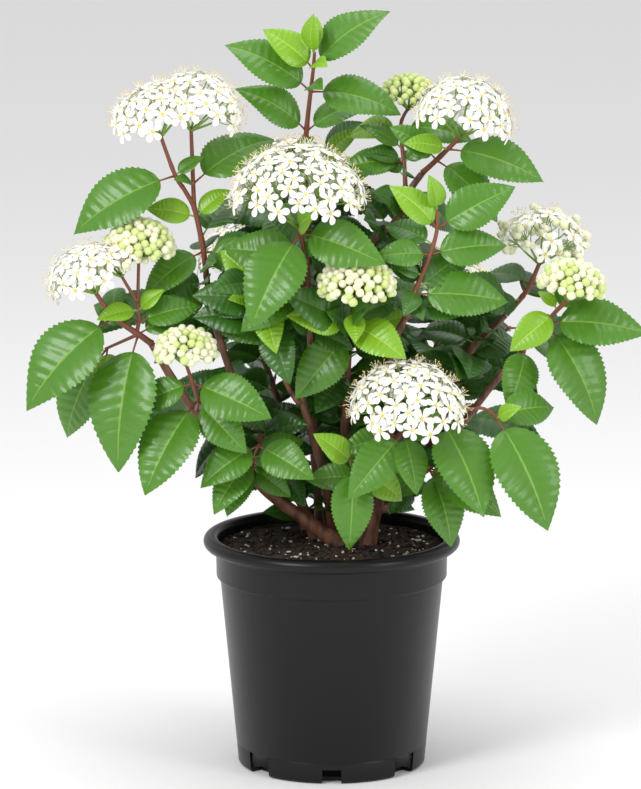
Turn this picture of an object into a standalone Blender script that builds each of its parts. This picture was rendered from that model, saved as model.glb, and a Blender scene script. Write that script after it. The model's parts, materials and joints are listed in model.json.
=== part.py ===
"""A flowering viburnum shrub standing in its round nursery pot.

Sizes in the tables are millimetres and become metres through MM. The origin is the
middle of the pot's flat underside, +Z is up and the front of the plant faces -Y.
"""

import math
import random
from collections import namedtuple

import bmesh
import bpy
from mathutils import Matrix, Vector
from mathutils.bvhtree import BVHTree

MM = 0.001
SEED = 11
GAP = 0.3

# Pot, a thin moulded tub with a rolled rim, a collar and drain notches round its foot
RIM_RADIUS = 112.5
RIM_TOP = 204.5
RIM_DROP = 11.5
COLLAR_RADIUS = 101.5
COLLAR_FOOT = 167.5
BODY_TOP_RADIUS = 97.8
FOOT_RADIUS = 82.2
FOOT_EDGE = 3.0
WALL = 2.0
FLOOR = 3.0
ROUND_STEPS = 40
NOTCH_DEPTH = 12.0
SMALL_NOTCH = (16.5, 12.5)
LARGE_NOTCH = (25.0, 18.0)
LARGE_NOTCH_TURN = 50.5

# Potting soil that fills the pot to a little below the rim
SOIL_TOP = 195.0

# Wood
FLARE = 0.45
FLARE_HEIGHT = 9.0
LIMB_STEPS = 2
TWIG_SIDES_RESOLUTION = 0
LIMB_SIDES_RESOLUTION = 2

# Leaf, in shares of its length: stations along it, with half widths
PETIOLE_END = 0.13
BLADE = ((0.39, 0.265), (0.70, 0.215))
LEAF_FOLD = 0.08
LEAF_ARCH = 0.11
LEAF_THICKNESS = 1 / 70
LEAF_CLEARANCE = 0.5
PETIOLE_RADIUS = 1.1
PETIOLE_START = 0.5
AXIL_RISE = 2.8
AXIL_CHANCE = 0.35
SMALLEST_LEAF = 20.0

# Flower head, a lumpy cap of blossom on rays, in shares of the head's radius: the
# cap's rows are angles from its top
HEAD_ROWS = (24, 48, 72, 94, 112)
HEAD_SIDES = 12
HEAD_LUMP = 0.05
HEAD_RISE = 0.38
HEAD_FLATNESS = 0.82
HEAD_UNDERSIDE = 0.52
RAYS = 6
RAY_SPREAD = 0.62
RAY_RADIUS = 1.0

# Turns and shortenings that a leaf tries before it is left out
NUDGES = (
    (0, 0, 1.0),
    (14, 0, 1.0),
    (-14, 0, 1.0),
    (0, 14, 1.0),
    (0, -14, 1.0),
    (28, 8, 0.95),
    (-28, 8, 0.95),
    (24, -16, 0.9),
    (-24, -16, 0.9),
    (44, 0, 0.8),
    (-44, 0, 0.8),
    (0, 30, 0.7),
    (0, -30, 0.7),
)

# Each limb: where it starts (the soil, or a share of the way up another limb), its
# radius there and at its tip, and the points it passes through
Limb = namedtuple("Limb", "name parent share radii points")
LIMBS = (
    Limb("stem_left", None, 0, (6.2, 3.3),
         ((5, 5, 195), (-50, 0, 237), (-85, -14, 278), (-125, -30, 328), (-155, -42, 381))),
    Limb("stem_upper_left", None, 0, (4.6, 2.9),
         ((-14, 22, 195), (-27, 24, 227), (-65, 12, 293), (-90, 0, 354), (-104, -12, 404))),
    Limb("stem_centre", None, 0, (4.4, 2.8),
         ((2, 26, 195), (-8, 6, 262), (-25, -15, 326), (-18, -26, 352), (-19, -36, 393), (-21, -46, 431))),
    Limb("stem_top", None, 0, (4.2, 2.6),
         ((-10, 40, 195), (-14, 44, 253), (-18, 46, 315), (-21, 42, 405), (-22, 34, 495), (-22, 28, 538))),
    Limb("stem_right_centre", None, 0, (5.6, 2.9),
         ((32, 0, 195), (42, -8, 239), (47, -16, 261), (50, -26, 294), (50, -38, 336), (53, -50, 382),
          (63, -56, 407))),
    Limb("stem_upper_right", None, 0, (5.6, 2.9),
         ((21, 19, 195), (14, 19, 258), (12, 18, 311), (15, 20, 382), (27, 16, 450), (57, 12, 481),
          (65, 10, 503), (78, 10, 522))),
    Limb("stem_back_left", None, 0, (4.2, 2.7),
         ((-22, 56, 195), (-40, 76, 282), (-66, 108, 356))),
    Limb("stem_back", None, 0, (4.2, 2.7),
         ((8, 56, 195), (4, 88, 300), (-16, 116, 392), (-24, 126, 430))),
    Limb("stem_back_right", None, 0, (4.4, 2.7),
         ((32, 36, 195), (54, 78, 276), (88, 110, 336))),
    Limb("bough_centre_left", "stem_centre", 0.5, (2.6, 2.1),
         ((-40, -26, 346), (-50, -36, 388))),
    Limb("bough_right", "stem_right_centre", 0.12, (4.2, 2.8),
         ((58, 4, 238), (77, 12, 262), (101, 16, 312), (116, 12, 359), (140, 8, 386), (151, 6, 398))),
    Limb("bough_far_right", "bough_right", 0.26, (3.6, 2.6),
         ((112, -6, 302), (142, -18, 344), (164, -28, 372))),
)

# Each shoot of a mass: where it starts, its radii, the points it passes through, its
# leaf nodes as (share of the way up, leaf, leaf) with a leaf as (azimuth, pitch, length),
# and what ends it as (kind, radius, lean towards azimuth, lean)
Shoot = namedtuple("Shoot", "name start share radii points nodes end")
MASSES = {
    "foliage_left": (
        Shoot("left_main", "stem_left", 1, (3.0, 2.0),
              ((-166, -48, 391), (-188, -54, 408), (-203, -58, 430)),
              ((0.22, (238, -75, 116), (20, 17, 52)), (0.60, (190, -41, 112), (70, 25, 44))),
              ("open", 37, 180, 24)),
        Shoot("left_low", "left_main", 0.22, (1.7, 1.3), ((-196, -24, 374),),
              ((0.95, (168, -66, 92), (285, -55, 50)),), None),
        Shoot("left_upright", "left_main", 0.25, (1.9, 1.7), ((-166, -49, 404), (-167, -50, 419)),
              ((0.75, (192, -8, 40), (350, 38, 30)), (0.35, (8, 24, 58), (150, 10, 50))), None),
        Shoot("left_umbel_low", "left_upright", 1, (1.6, 1.4), ((-181, -54, 444),), (),
              ("mixed", 25, 200, 20)),
        Shoot("left_umbel_high", "left_upright", 1, (1.6, 1.4), ((-166, -44, 456),), (),
              ("bud", 30, 0, 8)),
    ),
    "foliage_upper_left": (
        Shoot("upper_left_main", "stem_upper_left", 1, (2.8, 2.4),
              ((-108, -18, 433), (-111, -22, 461), (-117, -25, 492), (-120, -26, 502)),
              ((0.05, (188, 10, 62), (332, -22, 70)), (0.56, (194, -33, 66), (348, -8, 64)),
               (0.87, (180, 8, 46), (12, 38, 38))), None),
        Shoot("upper_left_outer", "upper_left_main", 1, (2.1, 1.7),
              ((-128, -29, 516), (-135, -32, 528), (-147, -34, 562)),
              ((0.44, (186, -27, 98), (30, 35, 28)),), ("open", 40, 190, 14)),
        Shoot("upper_left_inner", "upper_left_main", 0.96, (2.1, 1.7),
              ((-120, -24, 536), (-121, -24, 566)),
              ((0.30, (22, 22, 92), (205, 35, 28)),), ("open", 43, 10, 16)),
    ),
    "foliage_left_centre": (
        Shoot("left_centre_main", "bough_centre_left", 1, (2.1, 1.6),
              ((-55, -44, 412), (-62, -50, 436)),
              ((0.30, (192, -10, 70), (300, -52, 62)), (0.62, (170, 10, 66), (262, -30, 60)),
               (0.95, (140, 30, 50), (230, 5, 60))), None),
    ),
    "foliage_centre": (
        Shoot("centre_main", "stem_centre", 1, (2.8, 2.0), ((-22, -56, 460), (-29, -66, 489)),
              ((0.08, (205, -30, 72), (325, -30, 60)), (0.42, (168, 6, 74), (22, 8, 64)),
               (0.88, (226, -54, 94), (348, -16, 80))), ("open", 61, 90, 2)),
    ),
    "foliage_top": (
        Shoot("top_main", "stem_top", 1, (2.5, 1.5),
              ((-22, 26, 557), (-19, 20, 587), (-16, 14, 613), (-15, 10, 628)),
              ((0.20, (186, 35, 72), (14, 20, 62)), (0.60, (355, -13, 80), (182, 32, 82)),
               (0.83, (0, 42, 81), (180, 43, 54)), (0.98, (265, 74, 40), (85, 70, 36))), None),
    ),
    "foliage_middle": (
        Shoot("middle_main", "stem_upper_right", 0.54, (2.4, 1.8),
              ((16, -30, 388), (16, -62, 402), (21, -74, 424)),
              ((0.45, (15, 12, 54), (196, -46, 76)), (0.76, (190, 14, 60), (325, -34, 62)),
               (0.90, (272, -72, 48),)), ("bud", 34, 270, 6)),
    ),
    "foliage_right_centre": (
        Shoot("right_centre_main", "stem_right_centre", 1, (2.7, 1.6),
              ((70, -60, 428), (84, -60, 463), (90, -58, 485), (89, -56, 503)),
              ((0.22, (2, -4, 82), (188, 8, 48)), (0.59, (8, 5, 68), (190, 4, 52)),
               (0.82, (4, 30, 76), (180, 43, 58)), (0.98, (245, 66, 34), (80, 60, 28))), None),
    ),
    "foliage_high_right": (
        Shoot("high_right_main", "stem_upper_right", 0.93, (2.2, 1.5),
              ((63, 24, 528), (60, 38, 560), (67, 48, 574)),
              ((0.30, (184, -6, 54), (12, 36, 30)), (0.46, (178, 34, 42),),
               (0.72, (350, -14, 62), (160, -8, 50))), ("green", 25, 0, 4)),
    ),
    "foliage_upper_right": (
        Shoot("upper_right_main", "stem_upper_right", 1, (2.6, 2.0), ((92, 0, 537), (111, -12, 558)),
              ((0.36, (188, 40, 50), (350, -44, 74)), (0.66, (0, -21, 88), (150, 6, 52))),
              ("open", 45, 0, 10)),
    ),
    "foliage_right": (
        Shoot("right_main", "bough_right", 1, (2.7, 1.9),
              ((165, 8, 413), (173, 10, 425), (181, 14, 443)),
              ((0.34, (205, -18, 40), (70, 6, 64)), (0.62, (6, 10, 90), (120, 0, 62))),
              ("mixed", 41, 10, 6)),
    ),
    "foliage_far_right": (
        Shoot("far_right_main", "bough_far_right", 1, (2.5, 1.8),
              ((184, -44, 400), (194, -54, 414), (203, -64, 425)),
              ((0.08, (245, -48, 62), (60, -12, 66)), (0.50, (338, -63, 100), (356, -7, 86)),
               (0.72, (28, 20, 78), (205, -34, 52))), ("bud", 29, 0, 12)),
    ),
    "foliage_front_right": (
        Shoot("front_right_main", "stem_right_centre", 0.47, (2.5, 2.0),
              ((59, -70, 308), (64, -92, 315)),
              ((0.35, (20, 20, 50), (200, -10, 52)), (0.78, (206, -45, 72), (288, -58, 56))),
              ("open", 53, 270, 10)),
        Shoot("front_right_side", "front_right_main", 0.7, (1.7, 1.3),
              ((123, -86, 334), (141, -90, 326)),
              ((0.40, (308, -51, 98), (75, 20, 54)), (0.97, (330, -57, 106), (30, 4, 62))), None),
    ),
    "foliage_low_front": (
        Shoot("low_front_main", "stem_right_centre", 0.24, (2.0, 1.5),
              ((30, -34, 256), (18, -72, 283)),
              ((0.55, (20, 0, 54), (180, 0, 50)), (0.96, (256, -73, 76), (10, -35, 58))), None),
    ),
    "foliage_low_right": (
        Shoot("low_right_main", "bough_right", 0.20, (2.0, 1.4), ((80, -30, 268), (84, -56, 276)),
              ((0.50, (200, -30, 50), (10, -20, 60)), (0.95, (318, -50, 70), (345, -34, 74))), None),
    ),
    "foliage_low_left": (
        Shoot("low_left_main", "stem_left", 0.42, (2.0, 1.4), ((-68, -34, 276), (-63, -56, 296)),
              ((0.20, (232, -50, 52), (350, -40, 44)), (0.55, (214, -46, 60), (20, 20, 46)),
               (0.96, (320, -22, 64), (200, -30, 60))), None),
    ),
    "foliage_left_low": (
        Shoot("left_low_main", "stem_left", 0.72, (2.0, 1.6), ((-116, -60, 338), (-125, -74, 370)),
              ((0.35, (214, -58, 98), (335, -40, 66)), (0.70, (342, -17, 80), (170, -30, 56))),
              ("bud", 27, 270, 4)),
    ),
    "foliage_back_left": (
        Shoot("back_left_main", "stem_back_left", 1, (2.6, 2.0), ((-72, 122, 380), (-74, 138, 404)),
              ((0.25, (175, -8, 82), (330, 10, 56)), (0.75, (112, -32, 88), (240, 18, 60))),
              ("open", 48, 95, 22)),
        Shoot("back_left_side", "back_left_main", 0.2, (1.9, 1.4), ((-112, 130, 374), (-138, 132, 388)),
              ((0.50, (95, -38, 84), (220, -25, 78)), (0.97, (165, -22, 86), (70, -15, 76))), None),
    ),
    "foliage_back": (
        Shoot("back_main", "stem_back", 1, (2.6, 2.0), ((-28, 134, 452), (-30, 142, 474)),
              ((0.25, (20, -12, 84), (185, -20, 80)), (0.80, (110, -48, 90), (60, -10, 82))),
              ("open", 52, 90, 20)),
    ),
    "foliage_back_right": (
        Shoot("back_right_main", "stem_back_right", 1, (2.6, 2.0), ((98, 126, 362), (102, 138, 384)),
              ((0.25, (10, -20, 84), (160, -30, 74)), (0.78, (70, -42, 90), (190, 10, 66))),
              ("mixed", 42, 80, 22)),
        Shoot("back_right_side", "back_right_main", 0.2, (1.9, 1.4), ((136, 118, 352), (160, 112, 368)),
              ((0.50, (85, -38, 84), (330, -30, 78)), (0.97, (20, -18, 86), (110, -6, 76))), None),
    ),
    "foliage_back_low_left": (
        Shoot("back_low_left_main", "stem_back_left", 0.45, (2.0, 1.4), ((-78, 104, 286), (-104, 122, 296)),
              ((0.45, (110, -30, 80), (215, -28, 78)), (0.97, (165, -20, 88), (80, -38, 82))), None),
    ),
    "foliage_back_low_right": (
        Shoot("back_low_right_main", "stem_back_right", 0.45, (2.0, 1.4), ((92, 92, 276), (118, 104, 288)),
              ((0.45, (80, -35, 80), (320, -28, 76)), (0.97, (15, -20, 88), (100, -30, 82))), None),
    ),
    "foliage_back_low": (
        Shoot("back_low_main", "stem_back", 0.34, (2.0, 1.4), ((8, 118, 284), (10, 140, 300)),
              ((0.45, (160, -30, 76), (30, -25, 78)), (0.97, (95, -48, 92), (120, 20, 60))), None),
    ),
    "foliage_back_high": (
        Shoot("back_high_main", "stem_top", 0.78, (2.0, 1.4), ((-14, 74, 492), (-6, 96, 520)),
              ((0.45, (170, 0, 74), (10, -6, 72)), (0.97, (95, -30, 88), (60, 30, 60))), None),
    ),
}

Twig = namedtuple("Twig", "points radii")
Head = namedtuple("Head", "kind foot axis radius")
Leaf = namedtuple("Leaf", "foot along up length share")
Body = namedtuple("Body", "owner bare whole middle reach")


# Curves and frames

def smooth(points, steps):
    """Points on a smooth curve through the given ones."""
    ends = [2 * points[0] - points[1], *points, 2 * points[-1] - points[-2]]
    found = [points[0]]
    for a, b, c, d in zip(ends, ends[1:], ends[2:], ends[3:]):
        for k in range(1, steps + 1):
            t = k / steps
            found.append(0.5 * (2 * b + (c - a) * t + (2 * a - 5 * b + 4 * c - d) * t ** 2
                                + (3 * b - a - 3 * c + d) * t ** 3))
    return found


def place_on(path, share):
    """The point and direction at this share of a path's length."""
    runs = [(b - a).length for a, b in zip(path, path[1:])]
    left = share * sum(runs)
    for a, b, run in zip(path, path[1:], runs):
        if left <= run:
            return a.lerp(b, left / run), (b - a).normalized()
        left -= run
    return path[-1], (path[-1] - path[-2]).normalized()


def tapered(path, radii):
    """A radius for each point of a path, by its share of the way along."""
    runs = [0.0]
    for a, b in zip(path, path[1:]):
        runs.append(runs[-1] + (b - a).length)
    first, last = radii
    return [first + (last - first) * run / runs[-1] for run in runs]


def heading(azimuth, pitch):
    a, p = math.radians(azimuth), math.radians(pitch)
    return Vector((math.cos(p) * math.cos(a), math.cos(p) * math.sin(a), math.sin(p)))


def across(along, wish):
    """The unit direction nearest to wish that is square to along."""
    flat = wish - along * wish.dot(along)
    if flat.length < 1e-6:
        flat = along.orthogonal()
    return flat.normalized()


# Simple shapes that leaves are tested against

def tube_tree(path, radii, sides=5):
    corners, faces = [], []
    for i, (point, radius) in enumerate(zip(path, radii)):
        ahead = path[min(i + 1, len(path) - 1)] - path[max(i - 1, 0)]
        side = across(ahead.normalized(), Vector((0.31, 0.87, 0.12)))
        turn = Matrix.Rotation(2 * math.pi / sides, 3, ahead.normalized())
        for _ in range(sides):
            corners.append(point + side * radius)
            side = turn @ side
    for i in range(len(path) - 1):
        for k in range(sides):
            a, b = i * sides + k, i * sides + (k + 1) % sides
            faces.append((a, b, b + sides, a + sides))
    return BVHTree.FromPolygons(corners, faces)


def head_cap(head, lump=0.0):
    """The closed cap of blossom, its corners raised and sunk by turns like the flowers."""
    side = across(head.axis, Vector((1, 0, 0)))
    other = head.axis.cross(side)
    middle = head.foot + head.axis * head.radius * HEAD_RISE
    corners = [middle + head.axis * head.radius * HEAD_FLATNESS]
    faces = [(0, 1 + k, 1 + (k + 1) % HEAD_SIDES) for k in range(HEAD_SIDES)]
    for row, angle in enumerate(HEAD_ROWS):
        tilt = math.radians(angle)
        for k in range(HEAD_SIDES):
            turn = 2 * math.pi * k / HEAD_SIDES
            ring = side * math.cos(turn) + other * math.sin(turn)
            reach = head.radius * (1 + lump * (1 if (row + k) % 2 else -1))
            corners.append(middle + (ring * math.sin(tilt) + head.axis * HEAD_FLATNESS * math.cos(tilt)) * reach)
            a, b = 1 + row * HEAD_SIDES + k, 1 + row * HEAD_SIDES + (k + 1) % HEAD_SIDES
            if row < len(HEAD_ROWS) - 1:
                faces.append((a, a + HEAD_SIDES, b + HEAD_SIDES, b))
            else:
                faces.append((a, 1 + len(HEAD_ROWS) * HEAD_SIDES, b))
    corners.append(head.foot + head.axis * head.radius * HEAD_UNDERSIDE)
    return corners, faces


def leaf_rows(leaf, clearance):
    """The leaf's three-cornered cross sections from its root to its last blade station."""
    length, along, up = leaf.length, leaf.along, leaf.up
    side = along.cross(up)
    stalk = PETIOLE_RADIUS / length
    rows = []
    for share, half_width in ((PETIOLE_START / length, stalk), (PETIOLE_END, stalk), *BLADE):
        lift = LEAF_ARCH * 4 * share * (1 - share)
        middle = leaf.foot + (along * share + up * lift) * length
        reach = side * (half_width * length + clearance)
        edge = up * (LEAF_FOLD * half_width * length + clearance)
        thickness = max(length * LEAF_THICKNESS, PETIOLE_RADIUS if half_width == stalk else 0)
        rows.append((middle + reach + edge, middle - reach + edge, middle - up * (thickness + clearance)))
    return rows


def leaf_mesh(leaf, clearance=0.0, first=0):
    rows = leaf_rows(leaf, clearance)[first:]
    corners = [corner for row in rows for corner in row]
    corners.append(leaf.foot + leaf.along * (leaf.length + clearance))
    faces = [(2, 1, 0)]
    for i in range(len(rows) - 1):
        for k in range(3):
            a, b = 3 * i + k, 3 * i + (k + 1) % 3
            faces.append((a, b, b + 3, a + 3))
    last = 3 * len(rows) - 3
    for k in range(3):
        faces.append((last + k, last + (k + 1) % 3, len(corners) - 1))
    return corners, faces


# The growth rule

def make_leaf(foot, azimuth, pitch, length, share):
    """A leaf whose upper side turns to the light and to its own side of the plant."""
    along = heading(azimuth, pitch)
    outward = Vector((foot.x, foot.y, 0)).normalized()
    front = Vector((0, -1 if foot.y < 40 else 1, 0))
    up = across(along, outward * 0.35 + front * 0.75 + Vector((0, 0, 0.6)))
    return Leaf(foot, along, up, length, share)


def in_pot(corners):
    return any(c.z < RIM_TOP + 1 and math.hypot(c.x, c.y) < RIM_RADIUS + 1 for c in corners)


def meet(a, b):
    """Whether two bodies meet; on one mass a leaf's stalk may touch what bears it."""
    if (a.middle - b.middle).length > a.reach + b.reach:
        return False
    if a.owner == b.owner:
        return bool(a.bare.overlap(b.bare))
    return bool(a.whole.overlap(b.whole))


def body_of(owner, tree, points, margin):
    middle = (points[0] + points[-1]) / 2
    return Body(owner, tree, tree, middle, max((p - middle).length for p in points) + margin)


def start_of(limb_path, radius_there, share, direction, own_radius):
    """Where a side shoot starts, so that its flat end clears the limb by the gap."""
    place, along = place_on(limb_path, share)
    if share >= 1:
        return place + along * (GAP + own_radius * along.cross(direction).length)
    cosine = abs(along.dot(direction))
    sine = max(math.sqrt(max(1 - cosine ** 2, 0)), 0.35)
    return place + direction * (radius_there + GAP + 0.4 + own_radius * cosine) / sine


def grow():
    """All limbs, twigs, flower heads and leaves, as plain facts in millimetres."""
    dice = random.Random(SEED)
    limbs, solid = {}, []
    for limb in LIMBS:
        points = [Vector(p) for p in limb.points]
        if limb.parent is None:
            points.insert(0, points[0] - Vector((0, 0, FLARE_HEIGHT)))
        else:
            path, radii = limbs[limb.parent]
            place = place_on(path, limb.share)[0]
            way = (points[0] - place).normalized()
            there = radii[0] + (radii[-1] - radii[0]) * limb.share
            points.insert(0, start_of(path, there, limb.share, way, limb.radii[0]))
        path = smooth(points, LIMB_STEPS)
        radii = tapered(path, limb.radii)
        if limb.parent is None:
            radii = [r * (1 + FLARE * math.exp(-max(p.z - SOIL_TOP, 0) / FLARE_HEIGHT))
                     for p, r in zip(path, radii)]
        limbs[limb.name] = (path, radii)
        solid.append(body_of(limb.name, tube_tree(path, [r + 0.4 for r in radii]), path, 9))

    plan, wishes = {}, []
    for mass, shoots in MASSES.items():
        paths, twigs, heads = {}, [], []
        for shoot in shoots:
            points = [Vector(p) for p in shoot.points]
            if shoot.start in limbs:
                path, radii = limbs[shoot.start]
                there = radii[0] + (radii[-1] - radii[0]) * shoot.share
                place = place_on(path, shoot.share)[0]
                way = (points[0] - place).normalized()
                points.insert(0, start_of(path, there, shoot.share, way, shoot.radii[0]))
            else:
                points.insert(0, place_on(paths[shoot.start], shoot.share)[0])
            path = smooth(points, 2)
            paths[shoot.name] = path
            twigs.append(Twig(path, tapered(path, shoot.radii)))
            solid.append(body_of(mass, tube_tree(path, tapered(path, shoot.radii)), path, 4))
            if shoot.end:
                kind, radius, azimuth, lean = shoot.end
                head = Head(kind, path[-1], heading(azimuth, 90 - lean), radius)
                heads.append(head)
                solid.append(body_of(mass, BVHTree.FromPolygons(*head_cap(head, HEAD_LUMP)),
                                     [head.foot], radius * 1.4))
            for share, *leaves in shoot.nodes:
                foot, rise = place_on(path, share)
                for azimuth, pitch, length in leaves:
                    turn, tip, size = dice.uniform(-5, 5), dice.uniform(-4, 4), dice.uniform(0.96, 1.04)
                    wishes.append((mass, foot, azimuth + turn, pitch + tip, length * size, share))
                    side = azimuth + dice.choice((-70, 70))
                    if dice.random() < AXIL_CHANCE and length > 48:
                        wishes.append((mass, foot + rise * AXIL_RISE, side, dice.uniform(5, 45),
                                       length * dice.uniform(0.4, 0.6), share))
        plan[mass] = (twigs, heads, [])

    wishes.sort(key=lambda wish: -wish[4])
    for mass, foot, azimuth, pitch, length, share in wishes:
        for turn, tip, size in NUDGES:
            leaf = make_leaf(foot, azimuth + turn, pitch + tip, length * size, share)
            if leaf.length < SMALLEST_LEAF:
                continue
            corners, faces = leaf_mesh(leaf, LEAF_CLEARANCE, 1)
            if in_pot(corners):
                continue
            bare = BVHTree.FromPolygons(corners, faces)
            whole = BVHTree.FromPolygons(*leaf_mesh(leaf, LEAF_CLEARANCE))
            body = Body(mass, bare, whole, leaf.foot + leaf.along * leaf.length / 2, leaf.length * 0.6)
            if any(meet(body, other) for other in solid):
                continue
            plan[mass][2].append(leaf)
            solid.append(body)
            break
    return limbs, plan


# Solids

def material(name, colour, roughness):
    made = bpy.data.materials.new(name)
    made.use_nodes = True
    shader = made.node_tree.nodes["Principled BSDF"]
    shader.inputs["Base Color"].default_value = (*colour, 1)
    shader.inputs["Roughness"].default_value = roughness
    made.diffuse_color = (*colour, 1)
    return made


def add(name, mesh, collection, surface=None):
    made = bpy.data.objects.new(name, mesh)
    collection.objects.link(made)
    if surface:
        mesh.materials.clear()
        mesh.materials.append(surface)
    return made


def as_mesh(source, name, collection, surface=None, weld=True):
    """The evaluated shape of an object as a mesh of its own, a curve's with its ends welded."""
    bpy.context.view_layer.update()
    evaluated = source.evaluated_get(bpy.context.evaluated_depsgraph_get())
    mesh = bpy.data.meshes.new_from_object(evaluated)
    mesh.transform(source.matrix_world)
    bm = bmesh.new()
    bm.from_mesh(mesh)
    if weld:
        bmesh.ops.remove_doubles(bm, verts=bm.verts, dist=1e-6)
        bmesh.ops.recalc_face_normals(bm, faces=bm.faces)
    bm.to_mesh(mesh)
    bm.free()
    bpy.data.objects.remove(source)
    return add(name, mesh, collection, surface)


def tube(name, path, radii, resolution, collection, surface=None):
    """A tapering round limb or twig along a path given in millimetres."""
    curve = bpy.data.curves.new(name, "CURVE")
    curve.dimensions = "3D"
    curve.use_fill_caps = True
    curve.bevel_depth = max(radii) * MM
    curve.bevel_resolution = resolution
    spline = curve.splines.new("POLY")
    spline.points.add(len(path) - 1)
    for point, place, radius in zip(spline.points, path, radii):
        point.co = (*(place * MM), 1)
        point.radius = radius / max(radii)
    source = bpy.data.objects.new(name + "_line", curve)
    collection.objects.link(source)
    return as_mesh(source, name, collection, surface)


def cut_at_soil(mesh):
    """Takes off what is below the soil's surface, so that the foot is a flat cut."""
    bm = bmesh.new()
    bm.from_mesh(mesh)
    bmesh.ops.bisect_plane(bm, geom=bm.verts[:] + bm.edges[:] + bm.faces[:], dist=1e-7,
                           plane_co=(0, 0, (SOIL_TOP + GAP) * MM), plane_no=(0, 0, 1), clear_inner=True)
    bmesh.ops.holes_fill(bm, edges=bm.edges[:], sides=0)
    bmesh.ops.recalc_face_normals(bm, faces=bm.faces)
    bm.to_mesh(mesh)
    bm.free()


def turned(name, profile, collection, surface):
    """A profile of (radius, height) in millimetres turned round the vertical axis."""
    mesh = bpy.data.meshes.new(name)
    corners = [(radius * MM, 0, height * MM) for radius, height in profile]
    edges = [(i, i + 1) for i in range(len(profile) - 1)]
    mesh.from_pydata(corners, edges, [])
    made = add(name, mesh, collection, surface)
    screw = made.modifiers.new("turn", "SCREW")
    screw.steps = ROUND_STEPS
    screw.render_steps = ROUND_STEPS
    screw.use_merge_vertices = True
    screw.merge_threshold = 0.00001
    return made


def arc(centre, radius, first, last, steps):
    found = []
    for k in range(steps + 1):
        turn = math.radians(first + (last - first) * k / steps)
        found.append((centre[0] + radius * math.cos(turn), centre[1] + radius * math.sin(turn)))
    return found


def make_pot(collection, cutters, surface):
    bead = RIM_DROP / 2
    inside_top = COLLAR_RADIUS - WALL
    profile = [(0.0, FLOOR), (FOOT_RADIUS - WALL, FLOOR), (BODY_TOP_RADIUS - WALL, COLLAR_FOOT + 1),
               (inside_top, COLLAR_FOOT + 3), (inside_top, RIM_TOP - bead)]
    profile += arc((inside_top + 5, RIM_TOP - 5), 5, 150, 90, 1)
    profile += arc((RIM_RADIUS - bead, RIM_TOP - bead), bead, 70, -70, 3)
    profile += [(COLLAR_RADIUS + 1, RIM_TOP - RIM_DROP - 5), (COLLAR_RADIUS, RIM_TOP - RIM_DROP - 8),
                (COLLAR_RADIUS - 0.4, COLLAR_FOOT + 1), (BODY_TOP_RADIUS, COLLAR_FOOT - 1),
                (FOOT_RADIUS, FOOT_EDGE), (FOOT_RADIUS - FOOT_EDGE, 0.0), (0.0, 0.0)]
    pot = turned("pot", profile, collection, surface)
    for k in range(8):
        wide, tall = LARGE_NOTCH if k % 2 else SMALL_NOTCH
        quarter, odd = divmod(k, 2)
        turn = 90 * quarter + (LARGE_NOTCH_TURN if quarter % 2 == 0 else 90 - LARGE_NOTCH_TURN) * odd
        bpy.ops.mesh.primitive_cube_add(size=1)
        notch = bpy.context.object
        notch.name = f"notch_{k}"
        notch.scale = (wide * MM, 2 * NOTCH_DEPTH * MM, 2 * tall * MM)
        notch.rotation_euler = (0, 0, math.radians(turn))
        notch.location = Matrix.Rotation(math.radians(turn), 3, "Z") @ Vector((0, -FOOT_RADIUS * MM, 0))
        notch.hide_render = True
        notch.display_type = "WIRE"
        notch.users_collection[0].objects.unlink(notch)
        cutters.objects.link(notch)
    cut = pot.modifiers.new("drain_notches", "BOOLEAN")
    cut.operand_type = "COLLECTION"
    cut.collection = cutters
    return pot


def make_soil(collection, surface):
    taper = (BODY_TOP_RADIUS - FOOT_RADIUS) / (COLLAR_FOOT - FOOT_EDGE)
    foot = FLOOR + LARGE_NOTCH[1] + GAP
    narrow = FOOT_RADIUS - WALL - NOTCH_DEPTH - GAP
    lower = FOOT_RADIUS + taper * (foot + 2) - WALL - 2 * GAP
    profile = [(0.0, SOIL_TOP), (COLLAR_RADIUS - WALL - GAP, SOIL_TOP),
               (COLLAR_RADIUS - WALL - GAP, COLLAR_FOOT + 4),
               (BODY_TOP_RADIUS - WALL - 2 * GAP, COLLAR_FOOT + 1.5),
               (lower, foot + 2), (narrow, foot + 2), (narrow, FLOOR + GAP), (0.0, FLOOR + GAP)]
    return turned("soil", profile, collection, surface)


def from_faces(name, corners, faces, collection):
    mesh = bpy.data.meshes.new(name)
    mesh.from_pydata([corner * MM for corner in corners], [], faces)
    return add(name, mesh, collection)


def head_solids(head, collection):
    """The cap, and the rays that spread from its foot and end inside it."""
    from_faces("cap", *head_cap(head, HEAD_LUMP), collection)
    aside = head.axis.orthogonal()
    for k in range(RAYS):
        out = Matrix.Rotation(2 * math.pi * k / RAYS, 3, head.axis) @ aside
        tip = head.foot + (out * RAY_SPREAD + head.axis * 0.6) * head.radius
        tube(f"ray_{k}", [head.foot - head.axis * 0.5, tip], (RAY_RADIUS, RAY_RADIUS), 0, collection)


def volume_of(faces):
    total = 0.0
    for face in faces:
        first = face.verts[0].co
        for a, b in zip(face.verts[1:], face.verts[2:]):
            total += first.dot(a.co.cross(b.co)) / 6
    return total


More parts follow.
